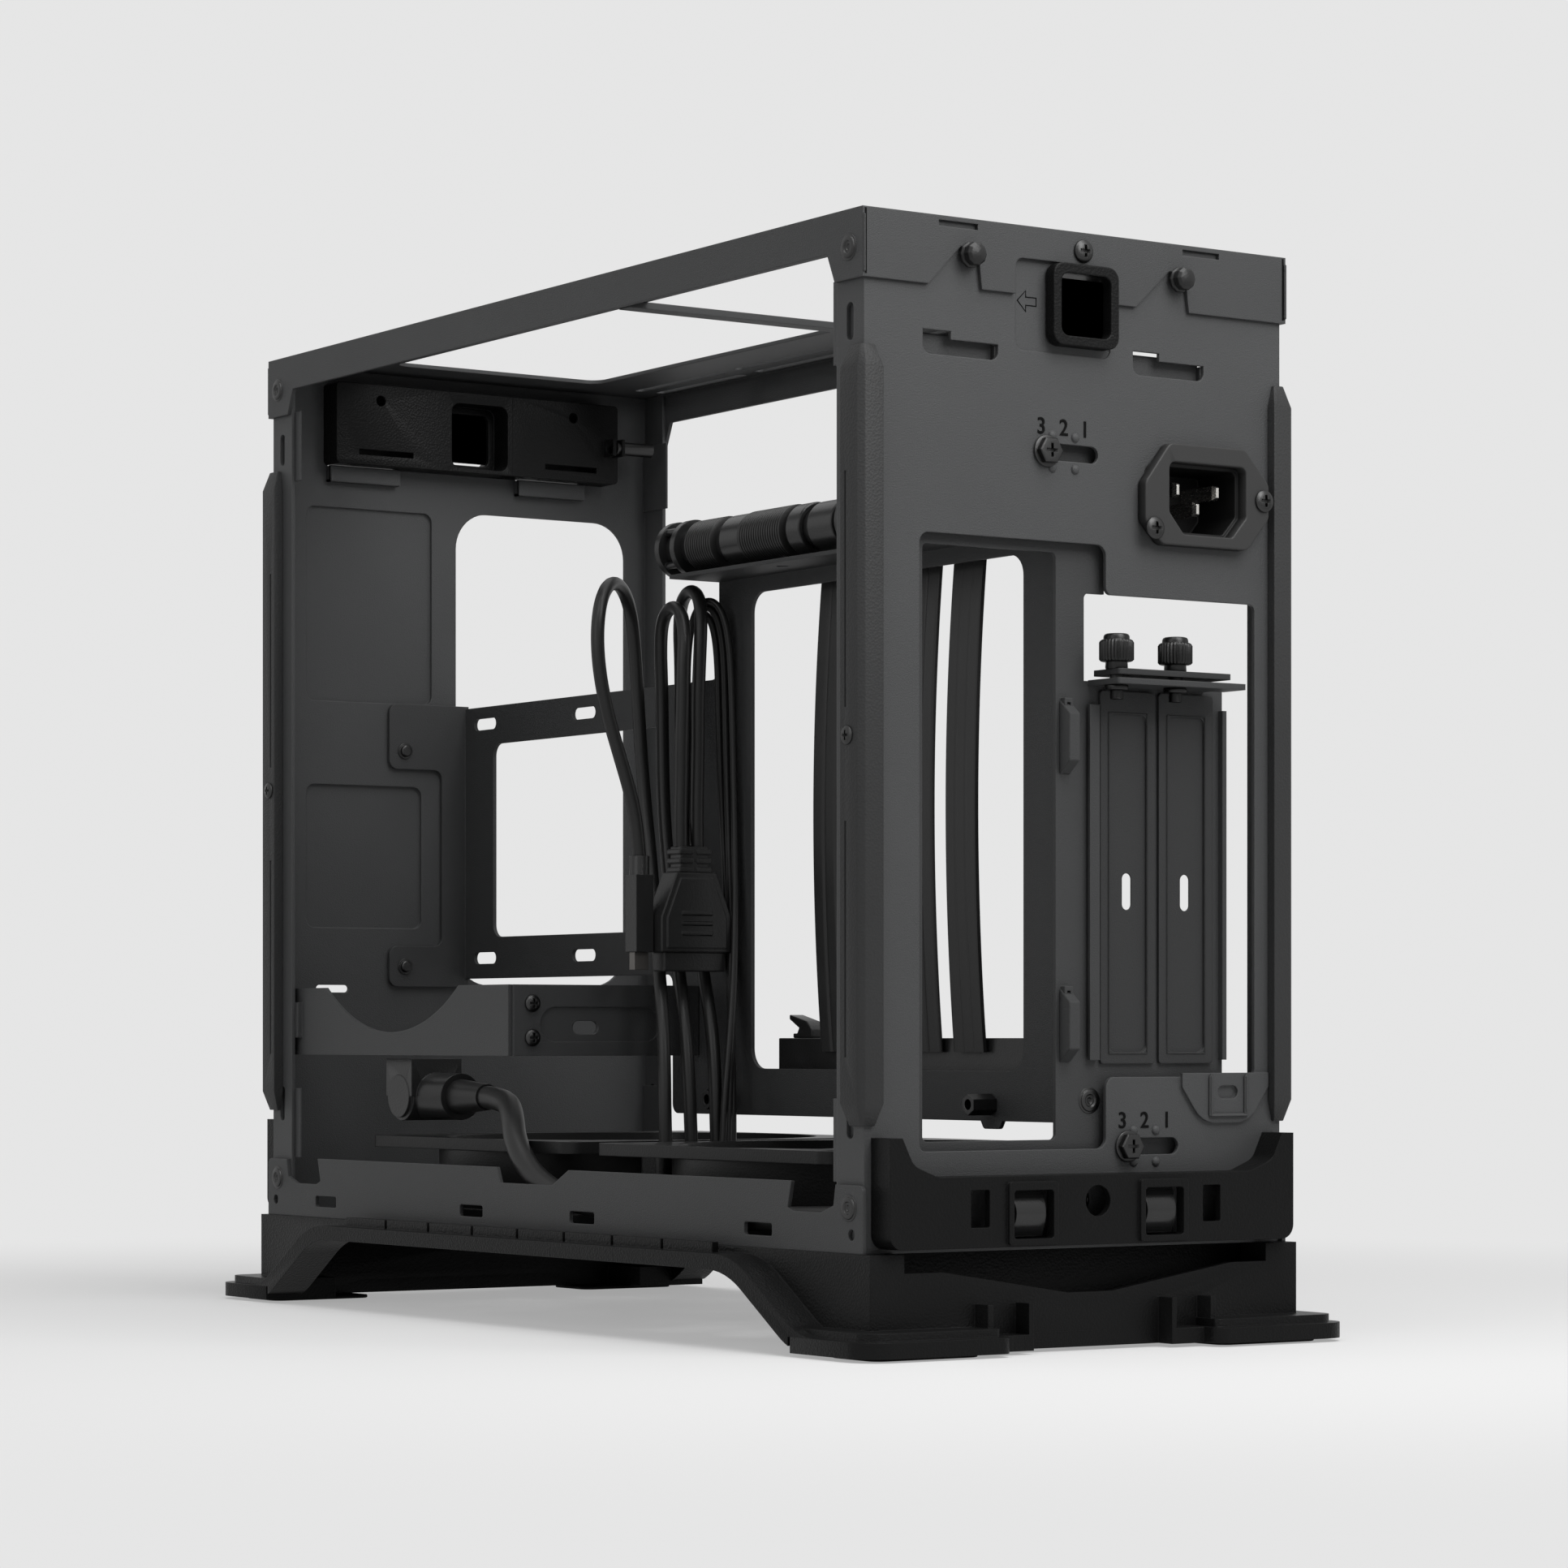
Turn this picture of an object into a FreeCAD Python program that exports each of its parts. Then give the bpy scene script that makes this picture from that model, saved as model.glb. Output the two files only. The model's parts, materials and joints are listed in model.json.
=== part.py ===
"""Mini-ITX computer case: open inner frame on a moulded base.

Millimetres, +Z up, rear face towards +Y. The origin is the bottom centre of
the base. Every driving dimension is a cell of the sheet "Sizes"; a Size in
this script carries both its number and the sheet formula that gives it, so
each box, cylinder and sketch below is bound to the sheet by an expression.
"""
import FreeCAD, Part
import math
import os
import Sketcher
from FreeCAD import Rotation, Vector

doc = FreeCAD.newDocument("MiniItxCase")
sheet = doc.addObject("Spreadsheet::Sheet", "Sizes")


# Sizes: numbers that remember their formula
class Size:
    """A length with the spreadsheet formula it comes from."""

    def __init__(self, value, formula):
        self.value, self.formula = float(value), formula

    def _join(self, sign, other, value):
        return Size(value, f"({self.formula} {sign} {words(other)})")

    def __add__(self, other):
        return self._join("+", other, self.value + number(other))

    def __sub__(self, other):
        return self._join("-", other, self.value - number(other))

    def __mul__(self, other):
        return self._join("*", other, self.value * number(other))

    def __truediv__(self, other):
        return self._join("/", other, self.value / number(other))

    def __radd__(self, other):
        return Size(number(other) + self.value, f"({words(other)} + {self.formula})")

    def __rsub__(self, other):
        return Size(number(other) - self.value, f"({words(other)} - {self.formula})")

    def __rmul__(self, other):
        return Size(number(other) * self.value, f"({words(other)} * {self.formula})")

    def __neg__(self):
        return Size(-self.value, f"(-{self.formula})")


def number(length):
    return length.value if isinstance(length, Size) else float(length)


def words(length):
    return length.formula if isinstance(length, Size) else repr(float(length))


def larger(first, second):
    """The larger of two lengths."""
    return Size(max(number(first), number(second)), f"max({words(first)}; {words(second)})")


class Sizes:
    """The sheet's cells as attributes."""

    def __init__(self):
        self.row = 0

    def add(self, name, value, note):
        self.row += 1
        sheet.set(f"A{self.row}", name)
        sheet.set(f"B{self.row}", str(value))
        sheet.set(f"C{self.row}", note)
        sheet.setAlias(f"B{self.row}", name)
        setattr(self, name, Size(value, f"Sizes.{name}"))


DRIVING = [
    ("frame_wide", 144.0, "over the side rails and sills, X"),
    ("frame_long", 333.0, "over the front and rear flanges of the top frame, Y"),
    ("frame_top", 301.6, "top face above the table"),
    ("steel", 1.2, "sheet thickness of frame, panels and spine"),
    ("seat_gap", 0.3, "running gap between a fixed and a sliding sheet"),
    ("rail_high", 10.6, "side rail of the top frame"),
    ("collar_high", 18.4, "front and rear flange of the top frame"),
    ("top_side_ledge", 33.5, "width of the top flange along each side"),
    ("top_end_ledge", 22.5, "width of the top flange at each end"),
    ("top_slot_long", 52.0, "vent slot in the top flange, length"),
    ("top_slot_wide", 3.6, "vent slot in the top flange, width"),
    ("top_slot_pitch", 59.5, "vent slot spacing along Y"),
    ("floor_low", 27.3, "underside of the steel floor"),
    ("sill_high", 18.6, "side sill, from the floor's underside"),
    ("base_wide", 165.0, "over the base's flange, X"),
    ("base_long", 366.0, "over the base's feet, Y"),
    ("base_body_wide", 145.0, "over the base's side walls, X"),
    ("base_body_long", 341.0, "over the base's end walls, Y"),
    ("base_wall", 2.6, "moulded wall of the base"),
    ("foot_flange", 4.3, "thickness of the flange and feet"),
    ("foot_round", 9.0, "corner radius of the feet"),
    ("foot_long_x", 48.0, "foot along X"),
    ("foot_long_y", 35.0, "foot along Y"),
    ("pad_thick", 1.0, "rubber pad under a foot"),
    ("arch_half", 117.0, "flat top of the side arch, half length"),
    ("arch_toe", 149.0, "foot of the side arch, half length"),
    ("arch_rise", 20.4, "height of the side arch above the feet"),
    ("post_fold", 12.5, "side fold of the front and rear panels"),
    ("fan_side", 120.0, "fan frame side"),
    ("fan_thick", 25.0, "fan frame thickness"),
    ("fan_bore", 57.6, "fan duct radius"),
    ("fan_hole_pitch", 105.0, "fan screw spacing"),
    ("fan_hole_r", 2.15, "fan screw hole radius"),
    ("fan_hub_r", 20.0, "impeller hub radius"),
    ("fan_shaft_r", 2.5, "impeller shaft radius"),
    ("shaft_gap", 0.05, "running clearance of the impeller shaft, radial"),
    ("fan_tip_gap", 1.3, "gap between blade tip and duct"),
    ("fan_pitch", 134.0, "distance between the fan axes, Y"),
    ("fan_middle", 5.5, "middle of the fan pair, Y"),
    ("spine_x", 0.0, "back face of the spine sheet, X"),
    ("spine_low", 61.0, "bottom edge of the spine"),
    ("shelf_top", 222.8, "top of the spine's folded shelf"),
    ("shelf_wide", 19.0, "spine shelf width"),
    ("spine_travel", 15.5, "travel of the spine between positions 3 and 1"),
    ("slide_back", 2.3, "rear panel's inner face to the sliding plate"),
    ("io_wide", 44.45, "I/O aperture, X"),
    ("io_high", 158.75, "I/O aperture, Z"),
    ("io_left", 5.0, "I/O aperture edge nearest the spine, X"),
    ("io_low", 56.5, "I/O aperture bottom"),
    ("slot_pitch", 20.32, "expansion slot pitch"),
    ("slot_edge", -29.2, "line between the two slot covers, X"),
    ("cover_wide", 18.9, "slot cover width"),
    ("cover_low", 77.0, "slot cover bottom"),
    ("cover_top", 178.6, "slot cover top"),
    ("window_left", 52.9, "rear panel window edge on the I/O side, X"),
    ("window_right", -61.8, "rear panel window edge on the slot side, X"),
    ("window_top", 217.8, "rear panel window top over the I/O aperture"),
    ("window_low", 54.0, "rear panel window bottom"),
    ("window_step", -9.5, "rear panel window step, X"),
    ("port_side", 16.8, "cable port's clear square"),
    ("port_z", 281.4, "cable port's middle"),
    ("bezel_wall", 2.2, "cable port bezel wall"),
    ("guard_thick", 3.0, "corner guard thickness"),
    ("guard_low", 60.9, "corner guard bottom"),
    ("guard_top", 265.7, "corner guard top"),
    ("guard_tip", 6.0, "corner guard tapered end"),
    ("inlet_x", -42.4, "mains inlet middle, X"),
    ("inlet_z", 232.4, "mains inlet middle, Z"),
    ("standoff_long", 8.15, "board standoff length"),
    ("standoff_flats", 5.2, "board standoff across flats"),
    ("standoff_bore", 1.5, "board standoff thread bore radius"),
    ("standoff_y", 127.6, "rear board standoff, Y"),
    ("standoff_z", 65.6, "lower board standoffs, Z"),
    ("board_hole_step", 132.08, "lower board hole spacing along Y"),
    ("drive_step_y", 61.72, "drive slot spacing along Y"),
    ("drive_step_z", 76.6, "drive slot spacing along Z"),
    ("drive_slot_long", 14.0, "drive slot, end to end"),
    ("drive_slot_wide", 3.8, "drive slot width"),
    ("tube_r", 8.5, "ribbed tube's collar radius"),
    ("tube_x", 10.2, "ribbed tube axis, X"),
    ("tube_front", -19.0, "ribbed tube front end, Y"),
    ("tube_long", 106.0, "ribbed tube length"),
    ("psu_x", 68.0, "power supply bracket's outer face, X"),
    ("psu_low", 78.7, "power supply bracket bottom"),
    ("psu_high", 21.2, "power supply bracket height"),
    ("psu_front", -158.0, "power supply bracket front end, Y"),
    ("psu_rear", -22.0, "power supply bracket rear end, Y"),
    ("filter_travel", 150.0, "pull-out travel of the dust filter"),
    ("mains_r", 3.5, "mains lead radius"),
    ("wire_r", 2.0, "front panel cable radius"),
]
S = Sizes()
for entry in DRIVING:
    S.add(*entry)
doc.recompute()

HX = S.frame_wide / 2
HY = S.frame_long / 2
SHELL_X = HX - S.steel
SHELL_Y = HY - S.steel
PANEL_IN = SHELL_Y - S.steel
FLOOR_TOP = S.floor_low + S.steel
SLIDE_OUT = PANEL_IN - S.slide_back
SLIDE_IN = SLIDE_OUT - S.steel
SPINE_FACE = S.spine_x + S.steel
FANS = {"front": S.fan_middle - S.fan_pitch / 2, "rear": S.fan_middle + S.fan_pitch / 2}
FAN_LOW = FLOOR_TOP
FAN_TOP = FLOOR_TOP + S.fan_thick


# Building blocks, each bound to the sheet
AXES = {"x": (0, "yz"), "y": (1, "xz"), "z": (2, "xy")}
UPRIGHT = {
    "x": Rotation(Vector(0, 1, 0), Vector(0, 0, 1), Vector(1, 0, 0), "ZXY"),
    "y": Rotation(Vector(1, 0, 0), Vector(0, 0, 1), Vector(0, -1, 0), "ZXY"),
    "z": Rotation(),
}
ALONG = {
    "x": Rotation(Vector(0, 1, 0), 90),
    "y": Rotation(Vector(1, 0, 0), -90),
    "z": Rotation(),
}


def bind(thing, prop, length):
    """Give a property a value, and its sheet formula where it has one."""
    if isinstance(length, Size):
        thing.setExpression(prop, length.formula)
    else:
        setattr(thing, prop, length)


def place(thing, x, y, z, rotation=None):
    """Put an object at three lengths."""
    if rotation is not None:
        thing.Placement.Rotation = rotation
    thing.Placement.Base = Vector(number(x), number(y), number(z))
    for letter, length in (("x", x), ("y", y), ("z", z)):
        if isinstance(length, Size):
            thing.setExpression(f"Placement.Base.{letter}", length.formula)
    return thing


def box(x, y, z, name="Block"):
    """A box from its low and high sides along each axis."""
    block = doc.addObject("Part::Box", name)
    for prop, (low, high) in (("Length", x), ("Width", y), ("Height", z)):
        bind(block, prop, high - low)
    return place(block, x[0], y[0], z[0])


def cylinder(axis, middle, span, radius, name="Round"):
    """A cylinder along an axis, from span[0] to span[1]."""
    rod = doc.addObject("Part::Cylinder", name)
    bind(rod, "Radius", radius)
    bind(rod, "Height", span[1] - span[0])
    spot = dict(zip(AXES[axis][1], middle))
    spot[axis] = span[0]
    return place(rod, spot["x"], spot["y"], spot["z"], ALONG[axis])


def cone(axis, middle, span, radii, name="Taper"):
    """A cone along an axis, with a radius at each end of its span."""
    rod = doc.addObject("Part::Cone", name)
    bind(rod, "Radius1", radii[0])
    bind(rod, "Radius2", radii[1])
    bind(rod, "Height", span[1] - span[0])
    spot = dict(zip(AXES[axis][1], middle))
    spot[axis] = span[0]
    return place(rod, spot["x"], spot["y"], spot["z"], ALONG[axis])


def prism(axis, middle, span, flats, name="Hexagon"):
    """A hexagonal bar along an axis, sized across its flats."""
    rod = doc.addObject("Part::Prism", name)
    rod.Polygon = 6
    bind(rod, "Circumradius", flats / math.sqrt(3.0))
    bind(rod, "Height", span[1] - span[0])
    spot = dict(zip(AXES[axis][1], middle))
    spot[axis] = span[0]
    return place(rod, spot["x"], spot["y"], spot["z"], ALONG[axis])


def fuse(parts, name="Joined"):
    """One solid from several."""
    if len(parts) == 1:
        return parts[0]
    joined = doc.addObject("Part::MultiFuse", name)
    joined.Shapes = parts
    joined.Refine = True
    return joined


def cut(body, tools, name="Opened"):
    """A body less its tools."""
    opened = doc.addObject("Part::Cut", name)
    opened.Base = body
    opened.Tool = fuse(tools, "Tools")
    opened.Refine = True
    return opened


def group(parts, name="Set"):
    """Separate solids kept together, such as a set of fasteners."""
    together = doc.addObject("Part::Compound", name)
    together.Links = parts
    return together


def corner_arc(corner, before, after, radius):
    """Start, middle and end of the arc that rounds a corner."""
    first, second = (before - corner).normalize(), (after - corner).normalize()
    half = first.getAngle(second) / 2
    reach = radius / math.tan(half)
    middle = corner + (first + second).normalize() * (radius / math.sin(half))
    peak = middle + (corner - middle).normalize() * radius
    return corner + first * reach, peak, corner + second * reach


def add_loop(sketch, loop):
    """Draw a closed outline of (u, v) or (u, v, radius) corners and pin it down."""
    count = len(loop)
    flat = [Vector(number(corner[0]), number(corner[1]), 0) for corner in loop]
    bends = []
    for i, corner in enumerate(loop):
        if len(corner) == 3:
            bends.append(corner_arc(flat[i], flat[i - 1], flat[(i + 1) % count], number(corner[2])))
        else:
            bends.append((flat[i], None, flat[i]))
    sketch.addGeometry(
        [Part.LineSegment(bends[i][2], bends[(i + 1) % count][0]) for i in range(count)], False)
    rules = []
    bound = []
    for i, corner in enumerate(loop):
        before, after = (i - 1) % count, i
        if len(corner) == 3:
            start, peak, end = bends[i]
            forward = (flat[i] - flat[i - 1]).cross(flat[(i + 1) % count] - flat[i]).z > 0
            first, last = (start, end) if forward else (end, start)
            arc = sketch.addGeometry(Part.Arc(first, peak, last), False)
            point = sketch.addGeometry(Part.Point(flat[i]), True)
            rules += [
                Sketcher.Constraint("Tangent", before, 2, arc, 1 if forward else 2),
                Sketcher.Constraint("Tangent", after, 1, arc, 2 if forward else 1),
                Sketcher.Constraint("PointOnObject", point, 1, before),
                Sketcher.Constraint("PointOnObject", point, 1, after),
                Sketcher.Constraint("Radius", arc, number(corner[2])),
            ]
            rules[-1].Name = f"R{i}"
            bound.append((rules[-1].Name, corner[2]))
            spot = (point, 1)
        else:
            rules.append(Sketcher.Constraint("Coincident", before, 2, after, 1))
            spot = (after, 1)
        for kind, length in (("DistanceX", corner[0]), ("DistanceY", corner[1])):
            rules.append(Sketcher.Constraint(kind, -1, 1, spot[0], spot[1], number(length)))
            rules[-1].Name = f"{kind[-1]}{i}"
            bound.append((rules[-1].Name, length))
    sketch.addConstraint(rules)
    for name, length in bound:
        if isinstance(length, Size):
            sketch.setExpression(f"Constraints.{name}", length.formula)


def add_ring(sketch, ring):
    """Draw a round outline (u, v, radius) and pin it down."""
    u, v, radius = ring
    sketch.addGeometry(Part.Circle(Vector(number(u), number(v), 0), Vector(0, 0, 1), number(radius)), False)
    rules = [
        Sketcher.Constraint("DistanceX", -1, 1, 0, 3, number(u)),
        Sketcher.Constraint("DistanceY", -1, 1, 0, 3, number(v)),
        Sketcher.Constraint("Radius", 0, number(radius)),
    ]
    for rule, letter in zip(rules, "XYR"):
        rule.Name = letter
    sketch.addConstraint(rules)
    for rule, length in zip(rules, ring):
        if isinstance(length, Size):
            sketch.setExpression(f"Constraints.{rule.Name}", length.formula)


def draw(axis, level, outline, name="Outline"):
    """One closed outline in a sketch across an axis, at a level along it."""
    sketch = doc.addObject("Sketcher::SketchObject", name)
    if isinstance(outline, tuple):
        add_ring(sketch, outline)
    else:
        add_loop(sketch, outline)
    spot = {"x": 0.0, "y": 0.0, "z": 0.0, axis: level}
    return place(sketch, spot["x"], spot["y"], spot["z"], UPRIGHT[axis])


def plate(axis, span, loops, rings=(), name="Plate"):
    """A flat sheet: an outline with its holes, extruded over a span."""
    low, high = span
    start = high if axis == "y" else low
    sketches = [draw(axis, start, outline) for outline in list(loops) + list(rings)]
    slab = doc.addObject("Part::Extrusion", name)
    slab.Base = sketches[0] if len(sketches) == 1 else group(sketches, "Outlines")
    slab.DirMode = "Custom"
    slab.Dir = {"x": Vector(1, 0, 0), "y": Vector(0, -1, 0), "z": Vector(0, 0, 1)}[axis]
    slab.Solid = True
    slab.FaceMakerClass = "Part::FaceMakerBullseye"
    bind(slab, "LengthFwd", high - low)
    return slab


def rectangle(u, v, radius=None):
    """The corners of a rectangle, rounded if a radius is given."""
    tail = () if radius is None else (radius,)
    return [(u[0], v[0]) + tail, (u[1], v[0]) + tail, (u[1], v[1]) + tail, (u[0], v[1]) + tail]


def obround(u, v):
    """A slot with round ends along its longer side, as a rounded rectangle."""
    wide, high = number(u[1] - u[0]), number(v[1] - v[0])
    return rectangle(u, v, min(wide, high) / 2 - 0.02)


def about(middle, half):
    """Low and high sides about a middle."""
    return (middle - half, middle + half)


PIECES = {}


def piece(name, thing):
    """Name a finished sub-part."""
    thing.Label = name
    PIECES[name] = thing


# Base: one moulding with arched sides, a V-cut rear wall and four feet
def base():
    body_x, body_y = S.base_body_wide / 2, S.base_body_long / 2
    out_x, out_y = S.base_wide / 2, S.base_long / 2
    sole = S.pad_thick
    brow = sole + S.foot_flange
    crest = sole + S.arch_rise
    toe_round, crest_round = 26.0, 30.0
    lower = [(-S.arch_toe, sole, toe_round), (-S.arch_half, crest, crest_round),
             (S.arch_half, crest, crest_round), (S.arch_toe, sole, toe_round)]
    upper = [(S.arch_toe + 3.0, brow, toe_round), (S.arch_half + 3.0, crest + S.foot_flange, crest_round),
             (-S.arch_half - 3.0, crest + S.foot_flange, crest_round), (-S.arch_toe - 3.0, brow, toe_round)]
    band = [(-out_y, sole)] + lower + [(out_y, sole), (out_y, brow)] + upper + [(-out_y, brow)]
    wall = [(-body_y, sole)] + lower + [(body_y, sole), (body_y, S.floor_low), (-body_y, S.floor_low)]
    parts = []
    for side in (1, -1):
        inner, outer = body_x - S.base_wall, out_x
        span = (inner, outer) if side > 0 else (-outer, -inner)
        parts.append(plate("x", span, [band], name="ArchFlange"))
        span = (inner, body_x) if side > 0 else (-body_x, -inner)
        parts.append(plate("x", span, [wall], name="SideWall"))
        ledge = out_x - larger(body_x, HX)
        ridge = (out_x - ledge * 0.65, out_x - ledge * 0.45) if side > 0 else (ledge * 0.45 - out_x, ledge * 0.65 - out_x)
        low = crest + S.foot_flange - 0.4
        for i in range(-4, 4):
            start = i * 26.1 + 0.7
            parts.append(box(ridge, (start, start + 24.7), (low, low + 3.2), "RidgeTooth"))
    for end in (1, -1):
        inner, outer = body_y - S.base_wall, body_y
        span = (inner, outer) if end > 0 else (-outer, -inner)
        column = body_x - 11.0
        vee = [(-body_x, sole), (body_x, sole), (body_x, S.floor_low), (column, S.floor_low),
               (column, 22.3), (49.0, 22.3), (7.6, 15.7), (-7.6, 15.7), (-49.0, 22.3),
               (-column, 22.3), (-column, S.floor_low), (-body_x, S.floor_low)]
        parts.append(plate("y", span, [vee], name="EndWall"))
        for side in (1, -1):
            across = (column, body_x) if side > 0 else (-body_x, -column)
            along = (inner - 8.0, inner + 0.5) if end > 0 else (-inner - 0.5, -inner + 8.0)
            parts.append(box(across, along, (sole, S.floor_low), "CornerColumn"))
    solid = fuse(parts, "BaseRough")
    braces = [box((-body_x + 1.0, body_x - 1.0), (153.0, 155.4), (brow, S.floor_low - 0.3), "InnerWall")]
    for side in (1, -1):
        for end in (1, -1):
            wing_y = body_y - 0.5 if end > 0 else -body_y - 6.0
            for x in (23.5, 37.0):
                across = (x, x + 1.6) if side > 0 else (-x - 1.6, -x)
                braces.append(box(across, (wing_y, wing_y + 6.5), (sole, 13.6), "Gusset"))
            across = (23.5, 38.6) if side > 0 else (-38.6, -23.5)
            shelf_y = (body_y - 0.5, body_y + 6.0) if end > 0 else (-body_y - 6.0, -body_y + 0.5)
            braces.append(box(across, shelf_y, (sole, brow), "GussetFoot"))
    feet = []
    keep = []
    for side in (1, -1):
        for end in (1, -1):
            inner_x, inner_y = out_x - S.foot_long_x, out_y - S.foot_long_y
            corners = [(side * inner_x, end * inner_y), (side * out_x, end * inner_y),
                       (side * out_x, end * out_y, S.foot_round), (side * inner_x, end * out_y, 4.0)]
            feet.append(plate("z", (sole, brow), [corners], name="Foot"))
            inset = 3.0
            ridge = [(side * (inner_x + 2.0), end * inner_y), (side * (out_x - inset), end * inner_y),
                     (side * (out_x - inset), end * (out_y - inset), S.foot_round - inset),
                     (side * (inner_x + 2.0), end * (out_y - inset), 2.0)]
            keep.append(plate("z", (brow - 0.2, brow + 2.2), [ridge], name="FootRidge"))
    corner_cut = [box((-out_x - 1.0, out_x + 1.0), (out_y - 36.0, out_y + 1.0), (sole - 1.0, brow + 0.01), "TrimEnd"),
                  box((-out_x - 1.0, out_x + 1.0), (-out_y - 1.0, 36.0 - out_y), (sole - 1.0, brow + 0.01), "TrimEnd")]
    body_keep = box((-body_x, body_x), (-body_y, body_y), (sole, brow), "BodyKeep")
    trims = [cut(trim, [body_keep], "TrimOutside") for trim in corner_cut]
    solid = cut(solid, trims, "BaseTrimmed")
    hollow_x, hollow_y = body_x - 15.0, body_y - S.base_wall
    inside = box((-hollow_x, hollow_x), (-hollow_y, hollow_y), (sole - 2.0, S.floor_low + 1.0), "Inside")
    solid = cut(fuse([solid] + feet + keep, "BaseWithFeet"), [inside], "BaseOpen")
    piece("base", fuse([solid] + braces, "BaseMoulding"))
    pads = []
    for side in (1, -1):
        for end in (1, -1):
            across = (out_x - S.foot_long_x + 6.0, out_x - 7.0)
            along = (out_y - 28.0, out_y - 6.0)
            across = across if side > 0 else (-across[1], -across[0])
            along = along if end > 0 else (-along[1], -along[0])
            pads.append(plate("z", (sole - S.pad_thick, sole), [rectangle(across, along, 4.0)], name="Pad"))
    piece("foot_pads", group(pads, "PadSet"))


# Lower frame: floor with two fan openings, folded up into the side sills
def lower_frame():
    slots = []
    rings = []
    for fan in FANS.values():
        rings.append((0.0, fan, S.fan_bore - 1.0))
        for u in (-1, 1):
            for v in (-1, 1):
                rings.append((u * (S.fan_hole_pitch / 2), fan + v * (S.fan_hole_pitch / 2), S.fan_hole_r))
    floor = plate("z", (S.floor_low, FLOOR_TOP), [rectangle((-HX, HX), (-SHELL_Y, SHELL_Y), 3.0)], rings, "Floor")
    top = S.floor_low + S.sill_high
    ledge = S.floor_low + 10.5
    low = S.floor_low
    lobe = HY - S.post_fold
    outline = [(-HY, low), (HY, low), (HY, top - 0.5, 2.0), (lobe, top - 0.5), (lobe - 1.0, ledge + 2.0),
               (lobe - 7.0, ledge), (lobe - 19.6, ledge), (lobe - 22.6, ledge + 1.0), (lobe - 20.8, top),
               (18.7, top), (9.6, top - 4.6), (-20.0, top - 4.6), (-22.0, top), (-lobe + 20.8, top),
               (-lobe + 22.6, ledge + 1.0), (-lobe + 19.6, ledge), (-lobe + 7.0, ledge),
               (-lobe + 1.0, ledge + 2.0), (-lobe, top - 0.5), (-HY, top - 0.5, 2.0)]
    for middle in (-127.8, -36.9, 26.2, 117.2):
        slots.append(rectangle((middle - 6.8, middle + 6.8), (low + 3.4, low + 6.9), 0.8))
    keyholes = [(HY - 5.2, low + 5.0, 1.5), (5.2 - HY, low + 5.0, 1.5)]
    sills = []
    for side in (1, -1):
        span = (SHELL_X, HX) if side > 0 else (-HX, -SHELL_X)
        sills.append(plate("x", span, [outline] + slots, keyholes, "Sill"))
    piece("lower_frame", fuse([floor] + sills, "LowerFrame"))


STUD_X = (37.2, -33.9)


# Rear panel: folded sheet with the stepped window, hook slots and cable port
def hook_slot(middle):
    """A hook slot with a small tongue left standing in it."""
    return [(middle - 12.4, 264.9, 2.4), (middle + 12.4, 264.9, 2.4), (middle + 12.4, 271.4),
            (middle + 3.2, 271.4), (middle + 3.2, 269.2), (middle - 12.4, 269.2)]


def post_folds(face, end):
    """The two side folds of a panel, with the long holes near their ends."""
    low, high = FLOOR_TOP, S.frame_top - S.steel
    near, far = (face - S.post_fold, face) if end > 0 else (-face, S.post_fold - face)
    middle = (near + far) / 2
    holes = [obround((middle - 1.6, middle + 1.6), (high - 33.0, high - 23.0)),
             obround((middle - 1.6, middle + 1.6), (low + 29.0, low + 40.0))]
    folds = []
    for side in (1, -1):
        span = (SHELL_X - S.steel, SHELL_X) if side > 0 else (-SHELL_X, S.steel - SHELL_X)
        folds.append(plate("x", span, [rectangle((near, far), (low, high))] + holes, name="Fold"))
    return folds


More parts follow.
